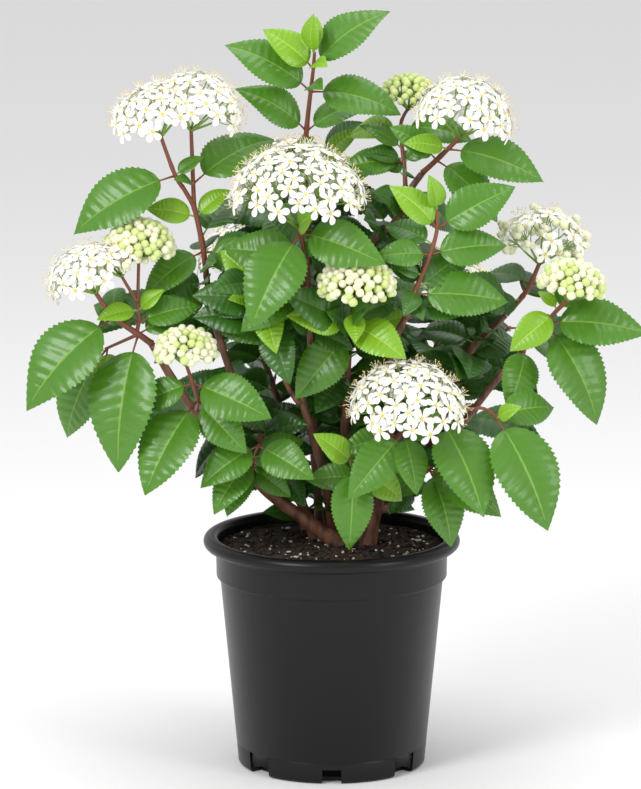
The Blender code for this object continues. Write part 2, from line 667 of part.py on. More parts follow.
def keep_largest(mesh):
    """Fills sealed hollows and drops loose scraps; tells whether the body left is closed."""
    bm = bmesh.new()
    bm.from_mesh(mesh)
    bmesh.ops.triangulate(bm, faces=bm.faces)
    left, bodies = set(bm.faces), []
    while left:
        stack = [left.pop()]
        body = []
        while stack:
            face = stack.pop()
            body.append(face)
            for edge in face.edges:
                for other in edge.link_faces:
                    if other in left:
                        left.remove(other)
                        stack.append(other)
        bodies.append(body)
    bodies.sort(key=volume_of)
    for body in bodies[:-1]:
        bmesh.ops.delete(bm, geom=body, context="FACES")
    loose = [vert for vert in bm.verts if not vert.link_faces]
    bmesh.ops.delete(bm, geom=loose, context="VERTS")
    closed = all(len(edge.link_faces) == 2 for edge in bm.edges)
    bm.to_mesh(mesh)
    bm.free()
    return closed


def make_mass(name, twigs, heads, leaves, collection, surface):
    """Twigs, heads and leaves fused to one solid by a union on their collection."""
    pieces = bpy.data.collections.new(name + "_pieces")
    bpy.context.scene.collection.children.link(pieces)
    for k, twig in enumerate(twigs[1:]):
        tube(f"twig_{k}", twig.points, twig.radii, TWIG_SIDES_RESOLUTION, pieces)
    for head in heads:
        head_solids(head, pieces)
    for k, leaf in enumerate(leaves):
        from_faces(f"leaf_{k}", *leaf_mesh(leaf), pieces)
    stem = tube(name, twigs[0].points, twigs[0].radii, TWIG_SIDES_RESOLUTION, collection, surface)
    union = stem.modifiers.new("grown_together", "BOOLEAN")
    union.operation = "UNION"
    union.operand_type = "COLLECTION"
    union.collection = pieces
    whole = as_mesh(stem, name, collection, surface, weld=False)
    if not keep_largest(whole.data):
        bpy.data.objects.remove(whole)
        stem = tube(name, twigs[0].points, twigs[0].radii, TWIG_SIDES_RESOLUTION, collection, surface)
        union = stem.modifiers.new("grown_together", "BOOLEAN")
        union.operation = "UNION"
        union.operand_type = "COLLECTION"
        union.collection = pieces
        union.solver = "MANIFOLD"
        whole = as_mesh(stem, name, collection, surface, weld=False)
        keep_largest(whole.data)
    for piece in list(pieces.objects):
        bpy.data.objects.remove(piece)
    bpy.data.collections.remove(pieces)
    return whole


def main():
    for old in list(bpy.data.objects):
        bpy.data.objects.remove(old)
    plant = bpy.data.collections.new("potted_viburnum")
    cutters = bpy.data.collections.new("cutters")
    bpy.context.scene.collection.children.link(plant)
    bpy.context.scene.collection.children.link(cutters)
    plastic = material("black_plastic", (0.02, 0.02, 0.022), 0.42)
    peat = material("potting_soil", (0.045, 0.028, 0.018), 0.95)
    bark = material("young_bark", (0.16, 0.07, 0.04), 0.7)
    green = material("leaf_green", (0.09, 0.26, 0.03), 0.5)
    make_pot(plant, cutters, plastic)
    make_soil(plant, peat)
    limbs, plan = grow()
    for name, (path, radii) in limbs.items():
        limb = tube(name, path, radii, LIMB_SIDES_RESOLUTION, plant, bark)
        cut_at_soil(limb.data)
        limb.data.shade_smooth()
    for name, (twigs, heads, leaves) in plan.items():
        make_mass(name, twigs, heads, leaves, plant, green)


main()
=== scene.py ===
import json
import math
import random
from collections import namedtuple

import bpy
from mathutils import Matrix, Vector, noise
from mathutils.bvhtree import BVHTree

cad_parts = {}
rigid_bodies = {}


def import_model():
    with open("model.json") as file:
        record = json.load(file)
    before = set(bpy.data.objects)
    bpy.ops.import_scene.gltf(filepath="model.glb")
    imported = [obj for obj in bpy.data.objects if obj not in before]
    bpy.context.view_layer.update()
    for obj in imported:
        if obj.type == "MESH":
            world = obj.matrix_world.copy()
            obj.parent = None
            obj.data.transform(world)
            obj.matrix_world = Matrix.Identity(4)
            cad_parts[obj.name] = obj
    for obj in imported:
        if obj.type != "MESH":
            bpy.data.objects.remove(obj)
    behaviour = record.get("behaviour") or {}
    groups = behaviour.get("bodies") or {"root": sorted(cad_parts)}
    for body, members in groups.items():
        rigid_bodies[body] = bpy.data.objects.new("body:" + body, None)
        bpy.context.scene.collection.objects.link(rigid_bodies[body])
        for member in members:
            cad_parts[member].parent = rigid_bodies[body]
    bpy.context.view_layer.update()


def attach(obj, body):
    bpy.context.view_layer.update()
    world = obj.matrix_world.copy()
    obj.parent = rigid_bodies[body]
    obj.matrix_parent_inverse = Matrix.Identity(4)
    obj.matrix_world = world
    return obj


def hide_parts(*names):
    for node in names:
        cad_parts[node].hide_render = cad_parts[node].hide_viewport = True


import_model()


# Nursery pot
# A thin black moulded tub with a rolled rim, a collar and drain notches round its foot,
# turned in one piece with a satin sheen. All sizes of the plant and pot are millimetres.

MM = 0.001
RIM_RADIUS = 112.5
RIM_TOP = 204.5
RIM_DROP = 11.5
RIM_INNER_ROUND = 5.0
UNDER_RIM_ROUND = 3.5
COLLAR_RADIUS = 101.5
COLLAR_FOOT = 167.5
COLLAR_DRAW = 0.4
COLLAR_ROUND = 1.5
COLLAR_STEP = (1.0, 3.0)
BODY_TOP_RADIUS = 97.8
BODY_TOP_ROUND = 1.4
FOOT_RADIUS = 82.2
FOOT_DRAW = 0.3
FOOT_ROUND = 2.9
WALL = 2.0
FLOOR = 3.0
# A fine mould line near the foot, as steps out from the foot's radius and heights
MOULD_LINE = ((1.55, 18.6), (1.05, 18.0), (1.4, 17.2))
POT_STEPS = 160
SHARP_EDGE = 35
SMALL_NOTCH = (16.5, 12.5)
LARGE_NOTCH = (25.0, 18.0)
LARGE_NOTCH_TURN = 50.5
NOTCH_THROUGH = 24.0
NOTCH_ROUND = 1.2
GRAIN_HEIGHT = 0.4
POT_BLACK = (0.004, 0.004, 0.0045)
POT_GLOSS = 0.28


def grain_group():
    """The grain that many finishes share: fine noise raised a little as bump."""
    group = bpy.data.node_groups.new("fine_grain", "ShaderNodeTree")
    group.interface.new_socket("Fineness", in_out="INPUT", socket_type="NodeSocketFloat")
    group.interface.new_socket("Strength", in_out="INPUT", socket_type="NodeSocketFloat")
    group.interface.new_socket("Normal", in_out="OUTPUT", socket_type="NodeSocketVector")
    nodes, links = group.nodes, group.links
    given = nodes.new("NodeGroupInput")
    result = nodes.new("NodeGroupOutput")
    place = nodes.new("ShaderNodeTexCoord")
    speckle = nodes.new("ShaderNodeTexNoise")
    bump = nodes.new("ShaderNodeBump")
    bump.inputs["Distance"].default_value = GRAIN_HEIGHT * MM
    links.new(place.outputs["Object"], speckle.inputs["Vector"])
    links.new(given.outputs["Fineness"], speckle.inputs["Scale"])
    links.new(given.outputs["Strength"], bump.inputs["Strength"])
    links.new(speckle.outputs["Fac"], bump.inputs["Height"])
    links.new(bump.outputs["Normal"], result.inputs["Normal"])
    return group


GRAIN = grain_group()


def place_group(made, group, target, **values):
    """Puts a shared effect into a material, on one socket of its shader."""
    nodes, links = made.node_tree.nodes, made.node_tree.links
    effect = nodes.new("ShaderNodeGroup")
    effect.node_tree = group
    for name, value in values.items():
        effect.inputs[name].default_value = value
    links.new(effect.outputs[0], nodes["Principled BSDF"].inputs[target])


def finish(name, colour, roughness, coat=0.0, grain=0.0, fineness=400.0):
    """A material of one colour, with a fine grain on its surface where it has one."""
    made = bpy.data.materials.new(name)
    made.use_nodes = True
    shader = made.node_tree.nodes["Principled BSDF"]
    shader.inputs["Base Color"].default_value = (*colour, 1)
    shader.inputs["Roughness"].default_value = roughness
    shader.inputs["Coat Weight"].default_value = coat
    if grain:
        place_group(made, GRAIN, "Normal", Fineness=fineness, Strength=grain)
    return made


def arc(centre, radius, first, last, steps):
    """Points on an arc of a profile, its angles in degrees."""
    found = []
    for k in range(steps + 1):
        turn = math.radians(first + (last - first) * k / steps)
        found.append((centre[0] + radius * math.cos(turn), centre[1] + radius * math.sin(turn)))
    return found


def pot_profile():
    """The wall's outline from the middle of the floor, over the rim, to the underside."""
    bead = RIM_DROP / 2
    inside = COLLAR_RADIUS - WALL
    low_step, high_step = COLLAR_STEP
    return [
        (0.0, FLOOR),
        (FOOT_RADIUS - WALL, FLOOR),
        (BODY_TOP_RADIUS - WALL, COLLAR_FOOT + low_step),
        (inside, COLLAR_FOOT + high_step),
        (inside, RIM_TOP - bead),
        *arc((inside + RIM_INNER_ROUND, RIM_TOP - RIM_INNER_ROUND), RIM_INNER_ROUND, 160, 90, 5),
        *arc((RIM_RADIUS - bead, RIM_TOP - bead), bead, 80, -80, 12),
        *arc((COLLAR_RADIUS + UNDER_RIM_ROUND, RIM_TOP - RIM_DROP - UNDER_RIM_ROUND),
             UNDER_RIM_ROUND, 90, 180, 4),
        *arc((COLLAR_RADIUS - COLLAR_DRAW - COLLAR_ROUND, COLLAR_FOOT + COLLAR_ROUND),
             COLLAR_ROUND, 0, -70, 4),
        *arc((BODY_TOP_RADIUS + BODY_TOP_ROUND, COLLAR_FOOT - BODY_TOP_ROUND),
             BODY_TOP_ROUND, 110, 180, 3),
        *((FOOT_RADIUS + out, height) for out, height in MOULD_LINE),
        *arc((FOOT_RADIUS + FOOT_DRAW - FOOT_ROUND, FOOT_ROUND), FOOT_ROUND, 0, -90, 5),
        (0.0, 0.0),
    ]


def turned(name, profile, material):
    """A profile turned round the upright axis, its turn still a modifier."""
    mesh = bpy.data.meshes.new(name)
    edges = [(i, i + 1) for i in range(len(profile) - 1)]
    mesh.from_pydata([(r * MM, 0, z * MM) for r, z in profile], edges, [])
    mesh.materials.append(material)
    made = bpy.data.objects.new(name, mesh)
    bpy.context.scene.collection.objects.link(made)
    screw = made.modifiers.new("turn", "SCREW")
    screw.steps = POT_STEPS
    screw.render_steps = POT_STEPS
    screw.use_merge_vertices = True
    screw.merge_threshold = 0.01 * MM
    return made


def notch_cutter(name, wide, tall, turn):
    """A rounded block that cuts one drain notch through the foot of the wall."""
    bpy.ops.mesh.primitive_cube_add(size=1)
    cutter = bpy.context.object
    cutter.name = name
    cutter.scale = (wide * MM, NOTCH_THROUGH * MM, 2 * tall * MM)
    cutter.rotation_euler = (0, 0, turn)
    cutter.location = Matrix.Rotation(turn, 3, "Z") @ Vector((0, -FOOT_RADIUS * MM, 0))
    soften = cutter.modifiers.new("round", "BEVEL")
    soften.width = NOTCH_ROUND * MM
    soften.segments = 3
    cutter.users_collection[0].objects.unlink(cutter)
    return cutter


def cut_notches(pot):
    """Eight drain notches, small and large by turns, cut into the turned wall."""
    cutters = bpy.data.collections.new("notch_cutters")
    for k in range(8):
        quarter, large = divmod(k, 2)
        wide, tall = LARGE_NOTCH if large else SMALL_NOTCH
        aside = LARGE_NOTCH_TURN if quarter % 2 == 0 else 90 - LARGE_NOTCH_TURN
        turn = math.radians(90 * quarter + aside * large)
        cutters.objects.link(notch_cutter(f"notch_cutter_{k}", wide, tall, turn))
    cut = pot.modifiers.new("drain_notches", "BOOLEAN")
    cut.operand_type = "COLLECTION"
    cut.collection = cutters
    bpy.context.view_layer.update()
    seen = pot.evaluated_get(bpy.context.evaluated_depsgraph_get())
    cut_mesh = bpy.data.meshes.new_from_object(seen)
    pot.modifiers.clear()
    pot.data = cut_mesh
    for cutter in list(cutters.objects):
        bpy.data.objects.remove(cutter)
    bpy.data.collections.remove(cutters)
    cut_mesh.shade_smooth()
    cut_mesh.set_sharp_from_angle(angle=math.radians(SHARP_EDGE))


black = finish("black_plastic", POT_BLACK, 0.34, grain=0.12, fineness=260.0)
black.node_tree.nodes["Principled BSDF"].inputs["Specular IOR Level"].default_value = POT_GLOSS
pot = turned("pot_tub", pot_profile(), black)
cut_notches(pot)
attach(pot, "root")
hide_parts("pot")


# Stems and boughs
# Smooth reddish brown young wood, swollen a little at its joints, growing out of the soil.
# The stems and the boughs on their sides are tapering tubes, joined into one piece.

GAP = 0.3
SOIL_TOP = 195.0
SEED = 11
FLARE = 0.45
FLARE_HEIGHT = 9.0
LIMB_STEPS = 2
LIMB_MARGIN = 0.4
SHALLOWEST_START = 0.35
BARK_STEPS = 5
BARK_SIDES = 16
BARK_THICKNESS = 0.97
BARK_DEPTH = 4.0
KNOT_SWELL = 0.10
KNOT_SPACING = 22.0
BARK_WAVE = 0.03
BARK_WAVE_RATE = 0.15
BARK_COLOUR = (0.14, 0.05, 0.028)
BARK_DARK = (0.085, 0.028, 0.016, 1)
BARK_LIGHT = (0.30, 0.135, 0.075, 1)

# Each limb: where it starts (the soil, or a share of the way up another limb), its
# radius there and at its tip, and the points it passes through
Limb = namedtuple("Limb", "name parent share radii points")
LIMBS = (
    Limb("stem_left", None, 0, (6.2, 3.3),
         ((5, 5, 195), (-50, 0, 237), (-85, -14, 278), (-125, -30, 328), (-155, -42, 381))),
    Limb("stem_upper_left", None, 0, (4.6, 2.9),
         ((-14, 22, 195), (-27, 24, 227), (-65, 12, 293), (-90, 0, 354), (-104, -12, 404))),
    Limb("stem_centre", None, 0, (4.4, 2.8),
         ((2, 26, 195), (-8, 6, 262), (-25, -15, 326), (-18, -26, 352), (-19, -36, 393), (-21, -46, 431))),
    Limb("stem_top", None, 0, (4.2, 2.6),
         ((-10, 40, 195), (-14, 44, 253), (-18, 46, 315), (-21, 42, 405), (-22, 34, 495), (-22, 28, 538))),
    Limb("stem_right_centre", None, 0, (5.6, 2.9),
         ((32, 0, 195), (42, -8, 239), (47, -16, 261), (50, -26, 294), (50, -38, 336), (53, -50, 382),
          (63, -56, 407))),
    Limb("stem_upper_right", None, 0, (5.6, 2.9),
         ((21, 19, 195), (14, 19, 258), (12, 18, 311), (15, 20, 382), (27, 16, 450), (57, 12, 481),
          (65, 10, 503), (78, 10, 522))),
    Limb("stem_back_left", None, 0, (4.2, 2.7),
         ((-22, 56, 195), (-40, 76, 282), (-66, 108, 356))),
    Limb("stem_back", None, 0, (4.2, 2.7),
         ((8, 56, 195), (4, 88, 300), (-16, 116, 392), (-24, 126, 430))),
    Limb("stem_back_right", None, 0, (4.4, 2.7),
         ((32, 36, 195), (54, 78, 276), (88, 110, 336))),
    Limb("bough_centre_left", "stem_centre", 0.5, (2.6, 2.1),
         ((-40, -26, 346), (-50, -36, 388))),
    Limb("bough_right", "stem_right_centre", 0.12, (4.2, 2.8),
         ((58, 4, 238), (77, 12, 262), (101, 16, 312), (116, 12, 359), (140, 8, 386), (151, 6, 398))),
    Limb("bough_far_right", "bough_right", 0.26, (3.6, 2.6),
         ((112, -6, 302), (142, -18, 344), (164, -28, 372))),
)

Body = namedtuple("Body", "owner bare whole middle reach")


def smooth(points, steps):
    """Points on a smooth curve through the given ones."""
    ends = [2 * points[0] - points[1], *points, 2 * points[-1] - points[-2]]
    found = [points[0]]
    for a, b, c, d in zip(ends, ends[1:], ends[2:], ends[3:]):
        for k in range(1, steps + 1):
            t = k / steps
            found.append(0.5 * (2 * b + (c - a) * t + (2 * a - 5 * b + 4 * c - d) * t ** 2
                                + (3 * b - a - 3 * c + d) * t ** 3))
    return found


def place_on(path, share):
    """The point and direction at this share of a path's length."""
    runs = [(b - a).length for a, b in zip(path, path[1:])]
    left = share * sum(runs)
    for a, b, run in zip(path, path[1:], runs):
        if left <= run:
            return a.lerp(b, left / run), (b - a).normalized()
        left -= run
    return path[-1], (path[-1] - path[-2]).normalized()


def tapered(path, radii):
    """A radius for each point of a path, by its share of the way along."""
    runs = [0.0]
    for a, b in zip(path, path[1:]):
        runs.append(runs[-1] + (b - a).length)
    first, last = radii
    return [first + (last - first) * run / runs[-1] for run in runs]


def across(along, wish):
    """The unit direction nearest to wish that is square to along."""
    flat = wish - along * wish.dot(along)
    if flat.length < 1e-6:
        flat = along.orthogonal()
    return flat.normalized()


def tube_tree(path, radii, sides=5):
    corners, faces = [], []
    for i, (point, radius) in enumerate(zip(path, radii)):
        ahead = path[min(i + 1, len(path) - 1)] - path[max(i - 1, 0)]
        side = across(ahead.normalized(), Vector((0.31, 0.87, 0.12)))
        turn = Matrix.Rotation(2 * math.pi / sides, 3, ahead.normalized())
        for _ in range(sides):
            corners.append(point + side * radius)
            side = turn @ side
    for i in range(len(path) - 1):
        for k in range(sides):
            a, b = i * sides + k, i * sides + (k + 1) % sides
            faces.append((a, b, b + sides, a + sides))
    return BVHTree.FromPolygons(corners, faces)


def body_of(owner, tree, points, margin):
    """A tube or cap as something that later growth has to stay clear of."""
    middle = (points[0] + points[-1]) / 2
    return Body(owner, tree, tree, middle, max((p - middle).length for p in points) + margin)


def start_of(path, radii, share, first, own_radius):
    """Where a side shoot starts, so that its flat end clears the limb by the gap."""
    place, along = place_on(path, share)
    direction = (first - place).normalized()
    if share >= 1:
        return place + along * (GAP + own_radius * along.cross(direction).length)
    radius_there = radii[0] + (radii[-1] - radii[0]) * share
    cosine = abs(along.dot(direction))
    sine = max(math.sqrt(max(1 - cosine ** 2, 0)), SHALLOWEST_START)
    return place + direction * (radius_there + GAP + LIMB_MARGIN + own_radius * cosine) / sine


def grow_limbs():
    """Each limb's path and radii, and what each takes up."""
    limbs, solid = {}, []
    for limb in LIMBS:
        points = [Vector(p) for p in limb.points]
        if limb.parent is None:
            points.insert(0, points[0] - Vector((0, 0, FLARE_HEIGHT)))
        else:
            points.insert(0, start_of(*limbs[limb.parent], limb.share, points[0], limb.radii[0]))
        path = smooth(points, LIMB_STEPS)
        radii = tapered(path, limb.radii)
        if limb.parent is None:
            radii = [r * (1 + FLARE * math.exp(-max(p.z - SOIL_TOP, 0) / FLARE_HEIGHT))
                     for p, r in zip(path, radii)]
        limbs[limb.name] = (path, radii)
        solid.append(body_of(limb.name, tube_tree(path, [r + LIMB_MARGIN for r in radii]), path, 9))
    return limbs, solid


class JoinedPiece:
    """Corners in millimetres, and faces with their finish, that become one mesh."""

    def __init__(self):
        self.corners = []
        self.faces = []
        self.finishes = []

    def add(self, corners, faces, finish_number=0):
        first = len(self.corners)
        self.corners.extend(corners)
        self.faces.extend(tuple(first + k for k in face) for face in faces)
        self.finishes.extend([finish_number] * len(faces))

    def add_tube(self, path, radii, sides, finish_number=0, closed=True):
        corners, faces = [], []
        side = (path[1] - path[0]).normalized().orthogonal()
        for i, (point, radius) in enumerate(zip(path, radii)):
            ahead = (path[min(i + 1, len(path) - 1)] - path[max(i - 1, 0)]).normalized()
            side = across(ahead, side)
            turn = Matrix.Rotation(2 * math.pi / sides, 3, ahead)
            arm = side
            for _ in range(sides):
                corners.append(point + arm * radius)
                arm = turn @ arm
        for i in range(len(path) - 1):
            for k in range(sides):
                a, b = i * sides + k, i * sides + (k + 1) % sides
                faces.append((a, b, b + sides, a + sides))
        if closed:
            last = (len(path) - 1) * sides
            faces.append(tuple(range(last, last + sides)))
            faces.append(tuple(reversed(range(sides))))
        self.add(corners, faces, finish_number)

    def place(self, name, slot, nodes, *materials):
        mesh = bpy.data.meshes.new(name)
        mesh.from_pydata([tuple(c * MM) for c in self.corners], [], self.faces)
        for material in materials:
            mesh.materials.append(material)
        mesh.polygons.foreach_set("material_index", self.finishes)
        mesh.shade_smooth()
        made = bpy.data.objects.new(name, mesh)
        bpy.context.scene.collection.objects.link(made)
        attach(made, "root")
        if nodes:
            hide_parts(*nodes)


def mottle_group():
    """The mottling that bark and soil share: two tones dealt out by a cloudy noise."""
    group = bpy.data.node_groups.new("mottle", "ShaderNodeTree")
    for name, kind in (("Dark", "NodeSocketColor"), ("Light", "NodeSocketColor"),
                       ("Fineness", "NodeSocketFloat"), ("Detail", "NodeSocketFloat"),
                       ("Stretch", "NodeSocketVector"), ("Dark Until", "NodeSocketFloat"),
                       ("Light From", "NodeSocketFloat")):
        group.interface.new_socket(name, in_out="INPUT", socket_type=kind)
    group.interface.new_socket("Color", in_out="OUTPUT", socket_type="NodeSocketColor")
    nodes, links = group.nodes, group.links
    given = nodes.new("NodeGroupInput")
    result = nodes.new("NodeGroupOutput")
    place = nodes.new("ShaderNodeTexCoord")
    stretch = nodes.new("ShaderNodeVectorMath")
    stretch.operation = "MULTIPLY"
    cloud = nodes.new("ShaderNodeTexNoise")
    tone = nodes.new("ShaderNodeMapRange")
    blend = nodes.new("ShaderNodeMix")
    blend.data_type = "RGBA"
    links.new(place.outputs["Object"], stretch.inputs[0])
    links.new(given.outputs["Stretch"], stretch.inputs[1])
    links.new(stretch.outputs["Vector"], cloud.inputs["Vector"])
    links.new(given.outputs["Fineness"], cloud.inputs["Scale"])
    links.new(given.outputs["Detail"], cloud.inputs["Detail"])
    links.new(cloud.outputs["Fac"], tone.inputs["Value"])
    links.new(given.outputs["Dark Until"], tone.inputs["From Min"])
    links.new(given.outputs["Light From"], tone.inputs["From Max"])
    factor, dark, light = (blend.inputs[k] for k in (0, 6, 7))
    links.new(tone.outputs["Result"], factor)
    links.new(given.outputs["Dark"], dark)
    links.new(given.outputs["Light"], light)
    links.new(blend.outputs[2], result.inputs["Color"])
    return group


def mottled(made, dark, light, fineness, detail, stretch, tones):
    """Deals two tones out over a material and hands the material back."""
    values = {"Dark": dark, "Light": light, "Fineness": fineness, "Detail": detail,
              "Stretch": stretch, "Dark Until": tones[0], "Light From": tones[1]}
    place_group(made, MOTTLE, "Base Color", **values)
    return made


MOTTLE = mottle_group()
limbs, solid = grow_limbs()
dice = random.Random(SEED + 1)
wood = JoinedPiece()
for limb in LIMBS:
    path, radii = limbs[limb.name]
    fine = smooth(path, BARK_STEPS)
    thick = []
    for i, point in enumerate(fine):
        along = i / BARK_STEPS
        low = int(min(along, len(radii) - 2))
        radius = radii[low] + (radii[low + 1] - radii[low]) * (along - low)
        swell = KNOT_SWELL * max(0.0, math.cos(2 * math.pi * i / KNOT_SPACING)) ** 8
        wave = BARK_WAVE * noise.noise(point * BARK_WAVE_RATE)
        thick.append(radius * (BARK_THICKNESS + swell + wave))
    if limb.parent is None:
        shown = [i for i, point in enumerate(fine) if point.z > SOIL_TOP - BARK_DEPTH]
        fine, thick = fine[shown[0]:], thick[shown[0]:]
    else:
        bearer = limbs[limb.parent][0]
        root = min(smooth(bearer, 4), key=lambda p: (p - fine[0]).length)
        fine, thick = [root] + fine, [thick[0] * 1.15] + thick
    wood.add_tube(fine, thick, BARK_SIDES)
bark = mottled(finish("young_bark", BARK_COLOUR, 0.5, grain=0.5, fineness=700.0),
               BARK_DARK, BARK_LIGHT, 160.0, 5.0, (1.0, 1.0, 0.25), (0.35, 0.72))
wood.place("bark_stems", "bark", [limb.name for limb in LIMBS], bark)


# Shoots and leaf stalks
# Soft young shoots, reddish on the older wood and green towards the flowers, growing on
# from the limbs' tips and sides. The rule here also finds where each leaf and head grows.

# A leaf, in shares of its length: stations along it, with half widths
PETIOLE_END = 0.13
BLADE = ((0.39, 0.265), (0.70, 0.215))
LEAF_FOLD = 0.08
LEAF_ARCH = 0.11
LEAF_THICKNESS = 1 / 70
LEAF_CLEARANCE = 0.5
PETIOLE_RADIUS = 1.1
PETIOLE_START = 0.5
SMALLEST_LEAF = 20.0

# A small leaf that sometimes grows in the angle above a large one
AXIL_RISE = 2.8
AXIL_CHANCE = 0.35
AXIL_BEARER = 48
AXIL_SIDES = (-70, 70)
AXIL_PITCH = (5, 45)
AXIL_SHARE = (0.4, 0.6)

# A flower head's cap, in shares of its radius: its rows are angles from its top
HEAD_ROWS = (24, 48, 72, 94, 112)
HEAD_SIDES = 12
HEAD_LUMP = 0.05
HEAD_RISE = 0.38
HEAD_FLATNESS = 0.82
HEAD_UNDERSIDE = 0.52
HEAD_REACH = 1.4

# Inner leaves, smaller ones on the older wood at each of its joints
CROWN_MIDDLE = Vector((0, 40, 375))
CROWN_REACH = Vector((165, 150, 185))
JOINT_SPACING = 17
JOINT_FIRST = 0.12
JOINT_SPAN = 0.84
JOINT_LEAVES = 3
OPEN_FRONT = 5
OPEN_BELOW = 390
INNER_TRIES = 3
INNER_TURN = (-30, 30)
INNER_LENGTH = (42, 82)
INNER_SHRINK = 0.2
INNER_PITCH = (-30, 35)
INNER_SHARE = 0.3
INNER_CLEARANCE = 0.3

# Shoots and stalks as they show
SHOOT_STEPS = 4
SHOOT_SIDES = 10
SHOOT_SKIN = (0.98, 0.95)
SHOOT_SWELL = 0.14
SHOOT_KNOTS = 9.0
STALK_SIDES = 6
STALK_STATIONS = (0.0, 0.5, 1.0, 1.35)
LEAF_STALK = (1.25, 0.95, 0.8, 0.4)
INNER_STALK = (1.1, 0.85, 0.7, 0.35)
RED_STALK_LEAF = 45
RED, GREEN = 0, 1

# Turns and shortenings that a leaf tries before it is left out
NUDGES = (
    (0, 0, 1.0),
    (14, 0, 1.0),
    (-14, 0, 1.0),
    (0, 14, 1.0),
    (0, -14, 1.0),
    (28, 8, 0.95),
    (-28, 8, 0.95),
    (24, -16, 0.9),
    (-24, -16, 0.9),
    (44, 0, 0.8),
    (-44, 0, 0.8),
    (0, 30, 0.7),
    (0, -30, 0.7),
)

